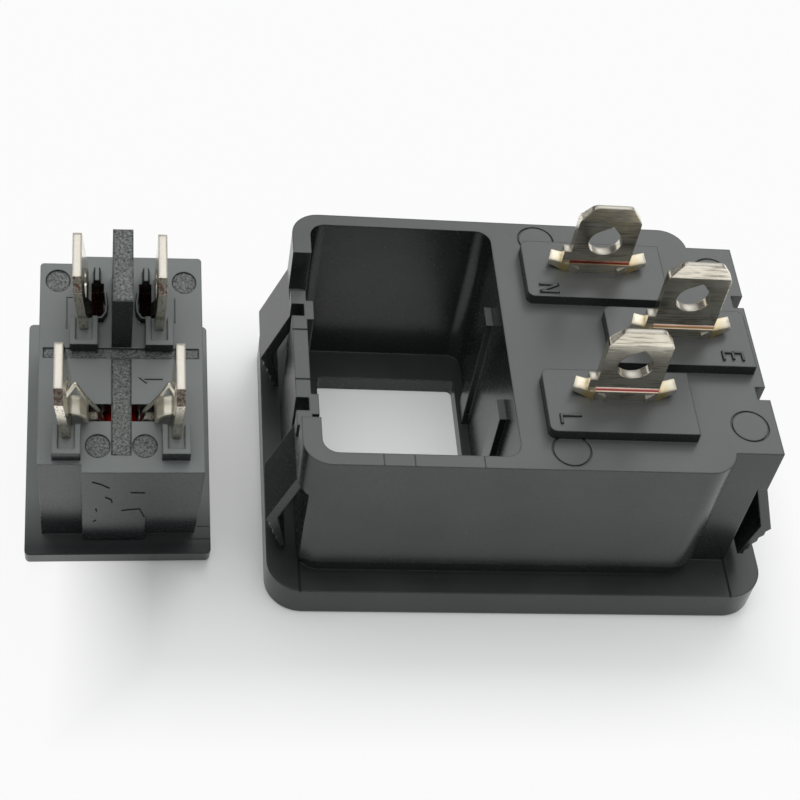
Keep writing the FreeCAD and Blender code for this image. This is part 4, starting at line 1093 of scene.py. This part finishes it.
@dataclass(frozen=True)
class WhiteCard(Finish):
    """Matt white card, to which the camera and reflections see plain white added as painted light, more of it
    further from the pieces, so that the floor is darker near them.
    """

    name: str = "white_card"
    tone: str = "#f3f4f4"
    rough: float = 0.7
    sheen: float = 0.2
    glow: str = "#fcfcfc"
    painted_light_near: float = 0.12
    painted_light_far: float = 0.92
    painted_light_reach: float = 8.0
    # Middle and half sides of the rectangle that the pieces stand on
    middle: tuple[float, float] = (-6.0, -4.0)
    half: tuple[float, float] = (25.0, 16.0)

    def build(self, tree: Tree, shader: Node) -> None:
        """Mixes card and glow by the distance from the pieces, for rays that show the floor.

        Args:
            tree: The material's node tree.
            shader: Its Principled shader.
        """
        feed(tree, shader, {"Base Color": linear(self.tone), "Roughness": self.rough,
                            "Specular IOR Level": self.sheen})
        ray = add_node(tree, Kind.RAY).outputs
        plain = add_node(tree, Kind.MATH, [ray["Is Camera Ray"], ray["Is Glossy Ray"]], operation="MAXIMUM")
        seen = add_node(tree, Kind.MATH, [plain, ray["Is Transmission Ray"]], operation="MAXIMUM")
        # The white is painted light, added more further from the pieces, so that the floor near them is darker
        # than further out
        fade = add_node(tree, Kind.RANGE, [self.away(tree), 0.0, self.painted_light_reach * MM, self.painted_light_near,
                                           self.painted_light_far])
        share = add_node(tree, Kind.MATH, [seen, fade], operation="MULTIPLY")
        glow = add_node(tree, Kind.GLOW, {"Color": linear(self.glow)})
        feed(tree, tree.nodes["Material Output"],
             {"Surface": add_node(tree, Kind.BLEND, [share, shader, glow])})

    def away(self, tree: Tree) -> Source:
        """Distance on the floor from the rectangle that the pieces stand on: the larger of its x and y parts.

        Args:
            tree: The material's node tree.

        Returns:
            The node that gives the distance in metres.
        """
        axes = add_node(tree, Kind.AXES, [add_node(tree, Kind.COORDS).outputs["Object"]]).outputs
        past = []
        for axis, middle, half in zip("XY", self.middle, self.half):
            off = add_node(tree, Kind.MATH, [axes[axis], middle * MM], operation="SUBTRACT")
            side = add_node(tree, Kind.MATH, [off], operation="ABSOLUTE")
            past.append(add_node(tree, Kind.MATH, [side, half * MM], operation="SUBTRACT"))
        return add_node(tree, Kind.MATH, past, operation="MAXIMUM")


@dataclass(frozen=True)
class Studio:
    """A white floor under a dim sky, with a large soft lamp above and a smaller one behind, on the right.

    The floor's size is metres.
    """

    floor_size: float = 40.0
    sky: float = 0.14
    lamps: tuple[Softbox, ...] = (Softbox("softbox_above", 34.5, 2.3, (-0.1, 0.1, 1.7)),
                                  Softbox("softbox_behind", 17.5, 1.3, (1.17, 2.1, 1.7)))

    def build(self) -> None:
        """Floor, world and lamps."""
        scene = bpy.context.scene
        half = self.floor_size / 2
        corners = [(-half, -half, 0), (half, -half, 0), (half, half, 0), (-half, half, 0)]
        mesh = bpy.data.meshes.new("floor")
        mesh.from_pydata(corners, [], [(0, 1, 2, 3)])
        floor = bpy.data.objects.new("floor", mesh)
        scene.collection.objects.link(floor)
        mesh.materials.append(WhiteCard().material())
        world = bpy.data.worlds.new("soft_sky")
        world.use_nodes = True
        feed(world.node_tree, world.node_tree.nodes["Background"],
             {"Color": (1.0, 1.0, 1.0, 1.0), "Strength": self.sky})
        scene.world = world
        for lamp in self.lamps:
            lamp.build()


@dataclass(frozen=True)
class PhotoCamera:
    """The photograph's viewpoint: a place in metres and three turns in degrees."""

    at: tuple[float, float, float] = (-0.03328, -0.09385, 0.12306)
    pitch: float = 49.331
    yaw: float = 13.530
    roll: float = 12.065
    focal_px: float = 1748.84
    frame_px: float = 800.0
    sensor: float = 36.0
    shift_y: float = -0.01
    clip_m: float = 0.005

    def build(self) -> None:
        """Makes the scene's camera."""
        pitch, yaw, roll = (math.radians(a) for a in (self.pitch, self.yaw, self.roll))
        ahead = Vector((math.sin(yaw) * math.cos(pitch), math.cos(yaw) * math.cos(pitch), -math.sin(pitch)))
        level = Vector((math.cos(yaw), -math.sin(yaw), 0))
        up = level.cross(ahead)
        right = level * math.cos(roll) + up * math.sin(roll)
        top = -level * math.sin(roll) + up * math.cos(roll)
        data = bpy.data.cameras.new("camera")
        data.sensor_width = self.sensor
        data.lens = self.focal_px / self.frame_px * self.sensor
        data.shift_y = self.shift_y
        data.clip_start = self.clip_m
        camera = bpy.data.objects.new("camera", data)
        turn = Matrix((right, top, -ahead)).transposed().to_4x4()
        camera.matrix_world = Matrix.Translation(self.at) @ turn
        bpy.context.scene.collection.objects.link(camera)
        bpy.context.scene.camera = camera


def main() -> None:
    """Builds the camera, the studio and the two sub-assemblies in order."""
    logging.basicConfig(level=logging.INFO, format="%(name)s: %(message)s")
    bpy.context.scene.view_settings.view_transform = "Standard"
    PhotoCamera().build()
    Studio().build()
    inlet, switch = Inlet(), Switch()
    inlet.dress(inlet.nodes)
    switch.dress(name for name in frame["nodes"] if name not in inlet.nodes)
    inlet.build()
    switch.build()


if __name__ == "__main__":
    main()
